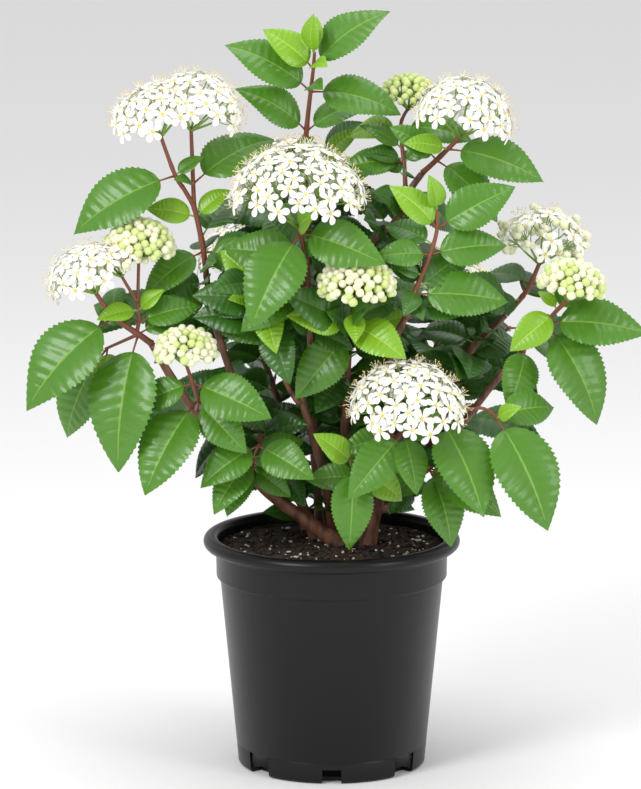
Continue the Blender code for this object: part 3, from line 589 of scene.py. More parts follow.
# Each shoot of a mass: where it starts, its radii, the points it passes through, its
# leaf nodes as (share of the way up, leaf, leaf) with a leaf as (azimuth, pitch, length),
# and what ends it as (kind, radius, lean towards azimuth, lean)
Shoot = namedtuple("Shoot", "name start share radii points nodes end")
MASSES = {
    "foliage_left": (
        Shoot("left_main", "stem_left", 1, (3.0, 2.0),
              ((-166, -48, 391), (-188, -54, 408), (-203, -58, 430)),
              ((0.22, (238, -75, 116), (20, 17, 52)), (0.60, (190, -41, 112), (70, 25, 44))),
              ("open", 37, 180, 24)),
        Shoot("left_low", "left_main", 0.22, (1.7, 1.3), ((-196, -24, 374),),
              ((0.95, (168, -66, 92), (285, -55, 50)),), None),
        Shoot("left_upright", "left_main", 0.25, (1.9, 1.7), ((-166, -49, 404), (-167, -50, 419)),
              ((0.75, (192, -8, 40), (350, 38, 30)), (0.35, (8, 24, 58), (150, 10, 50))), None),
        Shoot("left_umbel_low", "left_upright", 1, (1.6, 1.4), ((-181, -54, 444),), (),
              ("mixed", 25, 200, 20)),
        Shoot("left_umbel_high", "left_upright", 1, (1.6, 1.4), ((-166, -44, 456),), (),
              ("bud", 30, 0, 8)),
    ),
    "foliage_upper_left": (
        Shoot("upper_left_main", "stem_upper_left", 1, (2.8, 2.4),
              ((-108, -18, 433), (-111, -22, 461), (-117, -25, 492), (-120, -26, 502)),
              ((0.05, (188, 10, 62), (332, -22, 70)), (0.56, (194, -33, 66), (348, -8, 64)),
               (0.87, (180, 8, 46), (12, 38, 38))), None),
        Shoot("upper_left_outer", "upper_left_main", 1, (2.1, 1.7),
              ((-128, -29, 516), (-135, -32, 528), (-147, -34, 562)),
              ((0.44, (186, -27, 98), (30, 35, 28)),), ("open", 40, 190, 14)),
        Shoot("upper_left_inner", "upper_left_main", 0.96, (2.1, 1.7),
              ((-120, -24, 536), (-121, -24, 566)),
              ((0.30, (22, 22, 92), (205, 35, 28)),), ("open", 43, 10, 16)),
    ),
    "foliage_left_centre": (
        Shoot("left_centre_main", "bough_centre_left", 1, (2.1, 1.6),
              ((-55, -44, 412), (-62, -50, 436)),
              ((0.30, (192, -10, 70), (300, -52, 62)), (0.62, (170, 10, 66), (262, -30, 60)),
               (0.95, (140, 30, 50), (230, 5, 60))), None),
    ),
    "foliage_centre": (
        Shoot("centre_main", "stem_centre", 1, (2.8, 2.0), ((-22, -56, 460), (-29, -66, 489)),
              ((0.08, (205, -30, 72), (325, -30, 60)), (0.42, (168, 6, 74), (22, 8, 64)),
               (0.88, (226, -54, 94), (348, -16, 80))), ("open", 61, 90, 2)),
    ),
    "foliage_top": (
        Shoot("top_main", "stem_top", 1, (2.5, 1.5),
              ((-22, 26, 557), (-19, 20, 587), (-16, 14, 613), (-15, 10, 628)),
              ((0.20, (186, 35, 72), (14, 20, 62)), (0.60, (355, -13, 80), (182, 32, 82)),
               (0.83, (0, 42, 81), (180, 43, 54)), (0.98, (265, 74, 40), (85, 70, 36))), None),
    ),
    "foliage_middle": (
        Shoot("middle_main", "stem_upper_right", 0.54, (2.4, 1.8),
              ((16, -30, 388), (16, -62, 402), (21, -74, 424)),
              ((0.45, (15, 12, 54), (196, -46, 76)), (0.76, (190, 14, 60), (325, -34, 62)),
               (0.90, (272, -72, 48),)), ("bud", 34, 270, 6)),
    ),
    "foliage_right_centre": (
        Shoot("right_centre_main", "stem_right_centre", 1, (2.7, 1.6),
              ((70, -60, 428), (84, -60, 463), (90, -58, 485), (89, -56, 503)),
              ((0.22, (2, -4, 82), (188, 8, 48)), (0.59, (8, 5, 68), (190, 4, 52)),
               (0.82, (4, 30, 76), (180, 43, 58)), (0.98, (245, 66, 34), (80, 60, 28))), None),
    ),
    "foliage_high_right": (
        Shoot("high_right_main", "stem_upper_right", 0.93, (2.2, 1.5),
              ((63, 24, 528), (60, 38, 560), (67, 48, 574)),
              ((0.30, (184, -6, 54), (12, 36, 30)), (0.46, (178, 34, 42),),
               (0.72, (350, -14, 62), (160, -8, 50))), ("green", 25, 0, 4)),
    ),
    "foliage_upper_right": (
        Shoot("upper_right_main", "stem_upper_right", 1, (2.6, 2.0), ((92, 0, 537), (111, -12, 558)),
              ((0.36, (188, 40, 50), (350, -44, 74)), (0.66, (0, -21, 88), (150, 6, 52))),
              ("open", 45, 0, 10)),
    ),
    "foliage_right": (
        Shoot("right_main", "bough_right", 1, (2.7, 1.9),
              ((165, 8, 413), (173, 10, 425), (181, 14, 443)),
              ((0.34, (205, -18, 40), (70, 6, 64)), (0.62, (6, 10, 90), (120, 0, 62))),
              ("mixed", 41, 10, 6)),
    ),
    "foliage_far_right": (
        Shoot("far_right_main", "bough_far_right", 1, (2.5, 1.8),
              ((184, -44, 400), (194, -54, 414), (203, -64, 425)),
              ((0.08, (245, -48, 62), (60, -12, 66)), (0.50, (338, -63, 100), (356, -7, 86)),
               (0.72, (28, 20, 78), (205, -34, 52))), ("bud", 29, 0, 12)),
    ),
    "foliage_front_right": (
        Shoot("front_right_main", "stem_right_centre", 0.47, (2.5, 2.0),
              ((59, -70, 308), (64, -92, 315)),
              ((0.35, (20, 20, 50), (200, -10, 52)), (0.78, (206, -45, 72), (288, -58, 56))),
              ("open", 53, 270, 10)),
        Shoot("front_right_side", "front_right_main", 0.7, (1.7, 1.3),
              ((123, -86, 334), (141, -90, 326)),
              ((0.40, (308, -51, 98), (75, 20, 54)), (0.97, (330, -57, 106), (30, 4, 62))), None),
    ),
    "foliage_low_front": (
        Shoot("low_front_main", "stem_right_centre", 0.24, (2.0, 1.5),
              ((30, -34, 256), (18, -72, 283)),
              ((0.55, (20, 0, 54), (180, 0, 50)), (0.96, (256, -73, 76), (10, -35, 58))), None),
    ),
    "foliage_low_right": (
        Shoot("low_right_main", "bough_right", 0.20, (2.0, 1.4), ((80, -30, 268), (84, -56, 276)),
              ((0.50, (200, -30, 50), (10, -20, 60)), (0.95, (318, -50, 70), (345, -34, 74))), None),
    ),
    "foliage_low_left": (
        Shoot("low_left_main", "stem_left", 0.42, (2.0, 1.4), ((-68, -34, 276), (-63, -56, 296)),
              ((0.20, (232, -50, 52), (350, -40, 44)), (0.55, (214, -46, 60), (20, 20, 46)),
               (0.96, (320, -22, 64), (200, -30, 60))), None),
    ),
    "foliage_left_low": (
        Shoot("left_low_main", "stem_left", 0.72, (2.0, 1.6), ((-116, -60, 338), (-125, -74, 370)),
              ((0.35, (214, -58, 98), (335, -40, 66)), (0.70, (342, -17, 80), (170, -30, 56))),
              ("bud", 27, 270, 4)),
    ),
    "foliage_back_left": (
        Shoot("back_left_main", "stem_back_left", 1, (2.6, 2.0), ((-72, 122, 380), (-74, 138, 404)),
              ((0.25, (175, -8, 82), (330, 10, 56)), (0.75, (112, -32, 88), (240, 18, 60))),
              ("open", 48, 95, 22)),
        Shoot("back_left_side", "back_left_main", 0.2, (1.9, 1.4), ((-112, 130, 374), (-138, 132, 388)),
              ((0.50, (95, -38, 84), (220, -25, 78)), (0.97, (165, -22, 86), (70, -15, 76))), None),
    ),
    "foliage_back": (
        Shoot("back_main", "stem_back", 1, (2.6, 2.0), ((-28, 134, 452), (-30, 142, 474)),
              ((0.25, (20, -12, 84), (185, -20, 80)), (0.80, (110, -48, 90), (60, -10, 82))),
              ("open", 52, 90, 20)),
    ),
    "foliage_back_right": (
        Shoot("back_right_main", "stem_back_right", 1, (2.6, 2.0), ((98, 126, 362), (102, 138, 384)),
              ((0.25, (10, -20, 84), (160, -30, 74)), (0.78, (70, -42, 90), (190, 10, 66))),
              ("mixed", 42, 80, 22)),
        Shoot("back_right_side", "back_right_main", 0.2, (1.9, 1.4), ((136, 118, 352), (160, 112, 368)),
              ((0.50, (85, -38, 84), (330, -30, 78)), (0.97, (20, -18, 86), (110, -6, 76))), None),
    ),
    "foliage_back_low_left": (
        Shoot("back_low_left_main", "stem_back_left", 0.45, (2.0, 1.4), ((-78, 104, 286), (-104, 122, 296)),
              ((0.45, (110, -30, 80), (215, -28, 78)), (0.97, (165, -20, 88), (80, -38, 82))), None),
    ),
    "foliage_back_low_right": (
        Shoot("back_low_right_main", "stem_back_right", 0.45, (2.0, 1.4), ((92, 92, 276), (118, 104, 288)),
              ((0.45, (80, -35, 80), (320, -28, 76)), (0.97, (15, -20, 88), (100, -30, 82))), None),
    ),
    "foliage_back_low": (
        Shoot("back_low_main", "stem_back", 0.34, (2.0, 1.4), ((8, 118, 284), (10, 140, 300)),
              ((0.45, (160, -30, 76), (30, -25, 78)), (0.97, (95, -48, 92), (120, 20, 60))), None),
    ),
    "foliage_back_high": (
        Shoot("back_high_main", "stem_top", 0.78, (2.0, 1.4), ((-14, 74, 492), (-6, 96, 520)),
              ((0.45, (170, 0, 74), (10, -6, 72)), (0.97, (95, -30, 88), (60, 30, 60))), None),
    ),
}

Twig = namedtuple("Twig", "points radii")
Head = namedtuple("Head", "kind foot axis radius")
Leaf = namedtuple("Leaf", "foot along up length share")


def heading(azimuth, pitch):
    a, p = math.radians(azimuth), math.radians(pitch)
    return Vector((math.cos(p) * math.cos(a), math.cos(p) * math.sin(a), math.sin(p)))


def head_cap(head):
    """The closed cap of blossom, its corners raised and sunk by turns like the flowers."""
    side = across(head.axis, Vector((1, 0, 0)))
    other = head.axis.cross(side)
    middle = head.foot + head.axis * head.radius * HEAD_RISE
    corners = [middle + head.axis * head.radius * HEAD_FLATNESS]
    faces = [(0, 1 + k, 1 + (k + 1) % HEAD_SIDES) for k in range(HEAD_SIDES)]
    for row, angle in enumerate(HEAD_ROWS):
        tilt = math.radians(angle)
        for k in range(HEAD_SIDES):
            turn = 2 * math.pi * k / HEAD_SIDES
            ring = side * math.cos(turn) + other * math.sin(turn)
            reach = head.radius * (1 + HEAD_LUMP * (1 if (row + k) % 2 else -1))
            way = ring * math.sin(tilt) + head.axis * HEAD_FLATNESS * math.cos(tilt)
            corners.append(middle + way * reach)
            a, b = 1 + row * HEAD_SIDES + k, 1 + row * HEAD_SIDES + (k + 1) % HEAD_SIDES
            if row < len(HEAD_ROWS) - 1:
                faces.append((a, a + HEAD_SIDES, b + HEAD_SIDES, b))
            else:
                faces.append((a, 1 + len(HEAD_ROWS) * HEAD_SIDES, b))
    corners.append(head.foot + head.axis * head.radius * HEAD_UNDERSIDE)
    return corners, faces


def leaf_rows(leaf, clearance):
    """The leaf's three-cornered cross sections from its root to its last blade station."""
    length, along, up = leaf.length, leaf.along, leaf.up
    side = along.cross(up)
    stalk = PETIOLE_RADIUS / length
    rows = []
    for share, half_width in ((PETIOLE_START / length, stalk), (PETIOLE_END, stalk), *BLADE):
        lift = LEAF_ARCH * 4 * share * (1 - share)
        middle = leaf.foot + (along * share + up * lift) * length
        reach = side * (half_width * length + clearance)
        edge = up * (LEAF_FOLD * half_width * length + clearance)
        thickness = max(length * LEAF_THICKNESS, PETIOLE_RADIUS if half_width == stalk else 0)
        rows.append((middle + reach + edge, middle - reach + edge, middle - up * (thickness + clearance)))
    return rows


def leaf_mesh(leaf, clearance=0.0, first=0):
    rows = leaf_rows(leaf, clearance)[first:]
    corners = [corner for row in rows for corner in row]
    corners.append(leaf.foot + leaf.along * (leaf.length + clearance))
    faces = [(2, 1, 0)]
    for i in range(len(rows) - 1):
        for k in range(3):
            a, b = 3 * i + k, 3 * i + (k + 1) % 3
            faces.append((a, b, b + 3, a + 3))
    last = 3 * len(rows) - 3
    for k in range(3):
        faces.append((last + k, last + (k + 1) % 3, len(corners) - 1))
    return corners, faces


def make_leaf(foot, azimuth, pitch, length, share):
    """A leaf whose upper side turns to the light and to its own side of the plant."""
    along = heading(azimuth, pitch)
    outward = Vector((foot.x, foot.y, 0)).normalized()
    front = Vector((0, -1 if foot.y < 40 else 1, 0))
    up = across(along, outward * 0.35 + front * 0.75 + Vector((0, 0, 0.6)))
    return Leaf(foot, along, up, length, share)


def in_pot(corners):
    return any(c.z < RIM_TOP + 1 and math.hypot(c.x, c.y) < RIM_RADIUS + 1 for c in corners)


def meet(a, b):
    """Whether two bodies meet; on one mass a leaf's stalk may touch what bears it."""
    if (a.middle - b.middle).length > a.reach + b.reach:
        return False
    if a.owner == b.owner:
        return bool(a.bare.overlap(b.bare))
    return bool(a.whole.overlap(b.whole))


def leaf_body(owner, leaf, clearance, stalk=False):
    """A leaf as something to stay clear of, with its stalk towards other masses or not."""
    bare = BVHTree.FromPolygons(*leaf_mesh(leaf, clearance, 1))
    whole = BVHTree.FromPolygons(*leaf_mesh(leaf, clearance)) if stalk else bare
    return Body(owner, bare, whole, leaf.foot + leaf.along * leaf.length / 2, leaf.length * 0.6)


def head_body(owner, head):
    return body_of(owner, BVHTree.FromPolygons(*head_cap(head)), [head.foot], head.radius * HEAD_REACH)


def wished_leaves(mass, path, nodes, dice):
    """The leaves that a shoot's nodes ask for, each a little off its exact place."""
    wishes = []
    for share, *leaves in nodes:
        foot, rise = place_on(path, share)
        for azimuth, pitch, length in leaves:
            turn, tip, size = dice.uniform(-5, 5), dice.uniform(-4, 4), dice.uniform(0.96, 1.04)
            wishes.append((mass, foot, azimuth + turn, pitch + tip, length * size, share))
            side = azimuth + dice.choice(AXIL_SIDES)
            if dice.random() < AXIL_CHANCE and length > AXIL_BEARER:
                wishes.append((mass, foot + rise * AXIL_RISE, side, dice.uniform(*AXIL_PITCH),
                               length * dice.uniform(*AXIL_SHARE), share))
    return wishes


def settle_leaves(plan, wishes, solid):
    """Gives each wished leaf, longest first, a place where it touches nothing, if any."""
    wishes.sort(key=lambda wish: -wish[4])
    for mass, foot, azimuth, pitch, length, share in wishes:
        for turn, tip, size in NUDGES:
            leaf = make_leaf(foot, azimuth + turn, pitch + tip, length * size, share)
            if leaf.length < SMALLEST_LEAF:
                continue
            if in_pot(leaf_mesh(leaf, LEAF_CLEARANCE, 1)[0]):
                continue
            body = leaf_body(mass, leaf, LEAF_CLEARANCE, stalk=True)
            if any(meet(body, other) for other in solid):
                continue
            plan[mass][2].append(leaf)
            solid.append(body)
            break


def grow_masses(limbs, solid):
    """The shoots, heads and leaves of each mass."""
    dice = random.Random(SEED)
    plan, wishes = {}, []
    for mass, shoots in MASSES.items():
        paths, twigs, heads = {}, [], []
        for shoot in shoots:
            points = [Vector(p) for p in shoot.points]
            if shoot.start in limbs:
                points.insert(0, start_of(*limbs[shoot.start], shoot.share, points[0], shoot.radii[0]))
            else:
                points.insert(0, place_on(paths[shoot.start], shoot.share)[0])
            path = smooth(points, LIMB_STEPS)
            paths[shoot.name] = path
            twigs.append(Twig(path, tapered(path, shoot.radii)))
            solid.append(body_of(mass, tube_tree(path, tapered(path, shoot.radii)), path, 4))
            if shoot.end:
                kind, radius, azimuth, lean = shoot.end
                heads.append(Head(kind, path[-1], heading(azimuth, 90 - lean), radius))
                solid.append(head_body(mass, heads[-1]))
            wishes += wished_leaves(mass, path, shoot.nodes, dice)
        plan[mass] = (twigs, heads, [])
    settle_leaves(plan, wishes, solid)
    return plan


def within_crown(corners):
    """Whether all the corners lie in the full, egg-shaped middle of the crown."""
    for corner in corners:
        away = corner - CROWN_MIDDLE
        if sum((a / b) ** 2 for a, b in zip(away, CROWN_REACH)) > 1:
            return False
    return not in_pot(corners)


def inner_leaf(owner, foot, azimuth, grown, dice):
    """One inner leaf near this azimuth, or nothing where none has room."""
    for attempt in range(INNER_TRIES):
        near = azimuth + dice.uniform(*INNER_TURN)
        length = dice.uniform(*INNER_LENGTH) * (1 - INNER_SHRINK * attempt)
        leaf = make_leaf(foot, near, dice.uniform(*INNER_PITCH), length, INNER_SHARE)
        if not within_crown(leaf_mesh(leaf)[0]):
            continue
        body = leaf_body("inner", leaf, INNER_CLEARANCE)
        if not any(other.owner != owner and meet(body, other) for other in grown):
            grown.append(body)
            return leaf
    return None


def grow_inner_leaves(plan, limbs, dice):
    """Leaves at the joints of limbs and shoots, leaving the lower front stems in sight."""
    grown = [leaf_body(mass, leaf, 0) for mass, (_, _, leaves) in plan.items() for leaf in leaves]
    grown += [head_body(mass, head) for mass, (_, heads, _) in plan.items() for head in heads]
    grown += [body_of(name, tube_tree(*limb), limb[0], 9) for name, limb in limbs.items()]
    carriers = [(name, path) for name, (path, _) in limbs.items()]
    carriers += [(mass, twig.points) for mass, (twigs, _, _) in plan.items() for twig in twigs]
    found = []
    for owner, path in carriers:
        reach = sum((b - a).length for a, b in zip(path, path[1:]))
        joints = max(2, round(reach / JOINT_SPACING))
        for joint in range(joints):
            foot = place_on(path, JOINT_FIRST + JOINT_SPAN * joint / joints)[0]
            if foot.z < OPEN_BELOW and foot.y < OPEN_FRONT:
                continue
            azimuth = dice.uniform(0, 360)
            for _ in range(JOINT_LEAVES):
                found.append(inner_leaf(owner, foot, azimuth, grown, dice))
                azimuth += 360 / JOINT_LEAVES
    return [leaf for leaf in found if leaf]


def add_leaf_stalk(piece, leaf, radii, finish_number):
    """A leaf's stalk, running on a little into its midrib."""
    points = []
    for station in STALK_STATIONS:
        share = PETIOLE_END * station
        lift = LEAF_ARCH * 4 * share * (1 - share)
        points.append(leaf.foot + (leaf.along * share + leaf.up * lift) * leaf.length)
    piece.add_tube(points, radii, STALK_SIDES, finish_number)


plan = grow_masses(limbs, solid)
inner_leaves = grow_inner_leaves(plan, limbs, dice)
stalks = JoinedPiece()
for twigs, _, leaves in plan.values():
    for twig in twigs:
        fine = smooth(twig.points, SHOOT_STEPS)
        thick = tapered(fine, (twig.radii[0] * SHOOT_SKIN[0], twig.radii[-1] * SHOOT_SKIN[1]))
        for i in range(len(thick)):
            thick[i] *= 1 + SHOOT_SWELL * max(0.0, math.cos(2 * math.pi * i / SHOOT_KNOTS)) ** 6
        stalks.add_tube(fine, thick, SHOOT_SIDES, RED)
    for leaf in leaves:
        add_leaf_stalk(stalks, leaf, LEAF_STALK, RED if leaf.length > RED_STALK_LEAF else GREEN)
for leaf in inner_leaves:
    add_leaf_stalk(stalks, leaf, INNER_STALK, GREEN)


# Flowers and buds
# Creamy white flowers of five rounded petals, with a pale yellow middle and long
# stamens, and round cream buds, all on thin green stalks that part from the head's rays.

RAYS = 7
RAY_TILT = 46
RAY_TURN = 0.3
RAY_SHARE = (0.5, 0.6)
RAY_RADII = (1.25, 1.05, 0.9)
RAY_SAG = 0.03
RAY_ROOT = 1.5
FLOWER_STALK = (0.62, 0.5, 0.6)
HEAD_EDGE = 100
HEAD_PACKING = 2.1
HEAD_FEWEST = 7
HEAD_DEPTH = (0.86, 0.94)
FACING_OUT = 0.9
FACING_UP = 0.18
SPACING = {"open": 10.2, "mixed": 10.2, "bud": 4.7, "green": 4.7}
FLOWER_SIZE = (8.8, 10.6)
BUD_SIZE = {"mixed": (3.4, 4.3), "bud": (3.7, 4.5), "green": (3.2, 3.8)}
MIXED_OPEN = 0.5
MIXED_BUDS = 3
MIXED_SPREAD = (-5, 5)
GREENER_BUDS = 0.3

# A flower, in shares of its size; the petal's stations have half widths
PETALS = 5
PETAL = ((0.08, 0.07), (0.34, 0.19), (0.66, 0.31), (0.90, 0.24), (1.0, 0.09))
PETAL_JITTER = (-0.12, 0.12)
PETAL_DROOP = (-0.10, 0.22)
PETAL_ARCH = 0.30
PETAL_CREST = 0.35
PETAL_CUP = 0.07
MIDDLE_SIDES = 6
MIDDLE_RADIUS = 0.22
MIDDLE_FOOT = 0.02
MIDDLE_TOP = 0.16
STAMEN_OUT = (0.30, 0.45)
STAMEN_UP = (0.5, 0.72)
STAMEN_FOOT = 0.05
FILAMENT_RADII = (0.22, 0.16)
ANTHER_RADIUS = 0.78
ANTHER_WIDTH = 0.8
WHITE, YELLOW, ANTHER = 0, 1, 2

# A bud, in shares of its radius: its rows are angles from its foot
BUD_ROWS = (50, 90, 130, 160)
BUD_SIDES = 8
BUD_CREASE = 0.05
BUD_TOP = 0.95
CREAM_BUD, GREEN_BUD = 0, 1


def sides_of(facing):
    """Two directions square to the way that a flower or bud faces."""
    side = across(facing, Vector((0.2, 0.9, 0.3)))
    return side, facing.cross(side)


def add_rays(piece, head, dice):
    """The main rays of a flower head; the points where they part are handed back."""
    tips = []
    aside = head.axis.orthogonal()
    for k in range(RAYS):
        tilt = math.radians(0 if k == RAYS - 1 else RAY_TILT)
        turn = Matrix.Rotation(2 * math.pi * k / (RAYS - 1) + RAY_TURN, 3, head.axis)
        way = (turn @ aside) * math.sin(tilt) + head.axis * math.cos(tilt)
        tip = head.foot + way * head.radius * dice.uniform(*RAY_SHARE)
        middle = head.foot.lerp(tip, 0.5) - head.axis * head.radius * RAY_SAG
        piece.add_tube([head.foot - head.axis * RAY_ROOT, middle, tip], RAY_RADII, STALK_SIDES, GREEN)
        tips.append(tip)
    return tips


def dome_places(head, spacing, dice):
    """Even places over a head's cap, each with the way it faces."""
    side = across(head.axis, Vector((1, 0, 0)))
    other = head.axis.cross(side)
    middle = head.foot + head.axis * head.radius * HEAD_RISE
    lowest = math.cos(math.radians(HEAD_EDGE))
    count = max(HEAD_FEWEST, round(HEAD_PACKING * (1 - lowest) * head.radius ** 2 / spacing ** 2))
    found = []
    for k in range(count):
        height = 1 - (1 - lowest) * (k + 0.5) / count
        turn = k * math.pi * (3 - math.sqrt(5)) + dice.uniform(-0.1, 0.1)
        flat = math.sqrt(1 - height ** 2)
        ring = side * math.cos(turn) + other * math.sin(turn)
        reach = head.radius * dice.uniform(*HEAD_DEPTH)
        place = middle + (ring * flat + head.axis * HEAD_FLATNESS * height) * reach
        facing = (ring * flat * FACING_OUT + head.axis * (height + FACING_UP)).normalized()
        found.append((place, facing))
    return found


def add_petal(piece, place, out, facing, droop, size):
    wide = facing.cross(out)
    corners, faces = [], []
    for share, half in PETAL:
        lift = droop * share - PETAL_ARCH * (share - PETAL_CREST) ** 2
        for column in (-1, 0, 1):
            cup = PETAL_CUP * abs(column) * (1 - share * 0.4)
            corners.append(place + (out * share + wide * half * column
                                    + facing * (lift + cup)) * size)
    for row in range(len(PETAL) - 1):
        for column in range(2):
            a = row * 3 + column
            faces.append((a, a + 1, a + 4, a + 3))
    piece.add(corners, faces, WHITE)


def add_middle(piece, place, side, other, facing, size):
    corners = []
    for k in range(MIDDLE_SIDES):
        turn = 2 * math.pi * k / MIDDLE_SIDES
        ring = side * math.cos(turn) + other * math.sin(turn)
        corners.append(place + ring * size * MIDDLE_RADIUS + facing * size * MIDDLE_FOOT)
    corners.append(place + facing * size * MIDDLE_TOP)
    faces = [(k, (k + 1) % MIDDLE_SIDES, MIDDLE_SIDES) for k in range(MIDDLE_SIDES)]
    piece.add(corners, faces, YELLOW)


def add_stamen(piece, place, tip, side, other, facing, size):
    """A thin filament with a small eight-sided anther on it."""
    foot = place + facing * size * STAMEN_FOOT
    piece.add_tube([foot, tip], FILAMENT_RADII, 3, WHITE, closed=False)
    corners = [tip + facing * ANTHER_RADIUS, tip - facing * ANTHER_RADIUS]
    for way in (side, other, -side, -other):
        corners.append(tip + way * ANTHER_RADIUS * ANTHER_WIDTH)
    belt = [(2 + k, 2 + (k + 1) % 4) for k in range(4)]
    faces = [(0, a, b) for a, b in belt] + [(1, b, a) for a, b in belt]
    piece.add(corners, faces, ANTHER)


def add_flower(piece, place, facing, size, dice):
    spin = dice.uniform(0, 2 * math.pi)
    side, other = sides_of(facing)
    for k in range(PETALS):
        turn = spin + 2 * math.pi * k / PETALS + dice.uniform(*PETAL_JITTER)
        out = side * math.cos(turn) + other * math.sin(turn)
        add_petal(piece, place, out, facing, dice.uniform(*PETAL_DROOP), size)
    add_middle(piece, place, side, other, facing, size)
    for k in range(PETALS):
        turn = spin + 2 * math.pi * (k + 0.5) / PETALS
        out = side * math.cos(turn) + other * math.sin(turn)
        tip = place + (out * dice.uniform(*STAMEN_OUT) + facing * dice.uniform(*STAMEN_UP)) * size
        add_stamen(piece, place, tip, side, other, facing, size)


def add_bud(piece, place, facing, radius, finish_number):
    """A round bud with faint creases between its folded petals."""
    side, other = sides_of(facing)
    corners = [place - facing * radius]
    for angle in BUD_ROWS:
        tilt = math.radians(angle)
        for k in range(BUD_SIDES):
            turn = 2 * math.pi * k / BUD_SIDES
            ring = side * math.cos(turn) + other * math.sin(turn)
            crease = 1 - BUD_CREASE * (k % 2)
            corners.append(place + (ring * math.sin(tilt) * crease - facing * math.cos(tilt)) * radius)
    corners.append(place + facing * radius * BUD_TOP)
    faces = [(0, 1 + (k + 1) % BUD_SIDES, 1 + k) for k in range(BUD_SIDES)]
    for row in range(len(BUD_ROWS) - 1):
        for k in range(BUD_SIDES):
            a, b = 1 + row * BUD_SIDES + k, 1 + row * BUD_SIDES + (k + 1) % BUD_SIDES
            faces.append((a, b, b + BUD_SIDES, a + BUD_SIDES))
    last = 1 + (len(BUD_ROWS) - 1) * BUD_SIDES
    faces += [(last + k, last + (k + 1) % BUD_SIDES, len(corners) - 1) for k in range(BUD_SIDES)]
    piece.add(corners, faces, finish_number)


flowers = JoinedPiece()
buds = JoinedPiece()


def add_blossom(head, place, facing, dice):
    """What grows at one place of a head: a flower, a few buds or one bud."""
    if head.kind == "open" or (head.kind == "mixed" and dice.random() < MIXED_OPEN):
        add_flower(flowers, place, facing, dice.uniform(*FLOWER_SIZE), dice)
    elif head.kind == "mixed":
        for _ in range(MIXED_BUDS):
            shift = Vector([dice.uniform(*MIXED_SPREAD) for _ in range(3)])
            add_bud(buds, place + shift, facing, dice.uniform(*BUD_SIZE["mixed"]), CREAM_BUD)
    else:
        radius = dice.uniform(*BUD_SIZE[head.kind])
        greener = head.kind == "green" or dice.random() < GREENER_BUDS
        add_bud(buds, place, facing, radius, GREEN_BUD if greener else CREAM_BUD)


for _, heads, _ in plan.values():
    for head in heads:
        tips = add_rays(stalks, head, dice)
        for place, facing in dome_places(head, SPACING[head.kind], dice):
            root = min(tips, key=lambda tip: (tip - place).length)
            add_blossom(head, place, facing, dice)
            points = [root, root.lerp(place, 0.6) - head.axis, place - facing]
            stalks.add_tube(points, FLOWER_STALK, 4, GREEN, closed=False)
stalks.place("twigs_and_stalks", "foliage", list(MASSES),
             finish("red_twig", (0.21, 0.062, 0.032), 0.45, grain=0.3),
             finish("green_stalk", (0.22, 0.36, 0.06), 0.45))
flowers.place("open_flowers", "foliage", (),
              finish("white_petal", (0.96, 0.94, 0.88), 0.6),
              finish("yellow_middle", (0.72, 0.62, 0.10), 0.6),
              finish("cream_anther", (0.86, 0.62, 0.16), 0.6))
buds.place("flower_buds", "foliage", (),
           finish("cream_bud", (0.84, 0.84, 0.58), 0.45),
           finish("green_bud", (0.62, 0.72, 0.28), 0.45))


# Leaves
# Glossy toothed leaves in pairs, sunk along their side veins and folded up a little from
# the midrib; the newest at the tips are lime green, and those far inside the crown or low
# at its back are a darker green as painted shade.

# The blade's grid: rows from foot to tip, columns from edge to edge in half widths
LEAF_ROWS = 60
LEAF_COLUMNS = (-1.0, -0.82, -0.6, -0.38, -0.18, -0.035, 0.035, 0.18, 0.38, 0.6, 0.82, 1.0)
HALF_WIDTH = 0.262
WIDTH_RANGE = (0.95, 1.06)
FOOT_FULLNESS = 0.6
WIDEST_VALUE = 0.347
TEETH = 20
TOOTH_COLUMN = 0.9
TOOTH_DEPTH = 0.13
TOOTH_SINK = 0.05
TOOTHED_FROM = 8
BLADE_FOLD = 2.3
EDGE_DROP = 0.10
VEINS = 9
VEIN_RUN = 1.06
VEIN_SLANT = 0.20
QUILT_HEIGHT = 0.017
RIPPLE_HEIGHT = 0.012
RIPPLE_RATE = 9
CURL_RANGE = (-0.07, 0.01)
RIB_STOP = 6
YOUNG_LENGTH = 56
YOUNG_SHARE = 0.6
YOUNG_MIDDLE_LENGTH = 70
# Leaves behind and below these get a darker green as painted shade
SHADE_BEHIND = 5
SHADE_BELOW = 520
# Inner leaves above this height get a lighter painted shade than those below it
HIGH_INNER = 390

# Each kind of leaf with the colours of its blade and its rib; the shaded kinds are darker greens as painted
# shade, the inner ones high in the crown a little less dark
LEAF_COLOURS = {
    "bright": ((0.20, 0.42, 0.014), (0.36, 0.56, 0.06)),
    "green": ((0.070, 0.215, 0.010), (0.17, 0.35, 0.035)),
    "deep": ((0.032, 0.125, 0.008), (0.085, 0.20, 0.02)),
    "inner_high": ((0.040, 0.145, 0.008), (0.10, 0.23, 0.02)),
    "inner_left": ((0.030, 0.115, 0.008), (0.08, 0.19, 0.02)),
    "inner_right": ((0.030, 0.115, 0.008), (0.08, 0.19, 0.02)),
}


def blade_width(s):
    """How wide the blade is at this share of its length, 1 where it is widest."""
    return (s ** FOOT_FULLNESS) * (1 - s) / WIDEST_VALUE


def blade_rise(s, out, column, width, wave):
    """How far a place on the blade stands above its midrib's line."""
    fold = LEAF_FOLD * BLADE_FOLD * out * width - EDGE_DROP * width * out ** 3
    phase = (s * VEIN_RUN - VEIN_SLANT * out * blade_width(s) * (1 - 0.5 * s)) * VEINS
    quilt = abs(math.sin(math.pi * phase)) ** 0.8 * math.sqrt(out * (1.02 - out) * 4)
    ripple = RIPPLE_HEIGHT * out ** 2 * math.sin(RIPPLE_RATE * s + wave + column)
    return fold + QUILT_HEIGHT * quilt * min(1, 4 * (1 - s)) + ripple


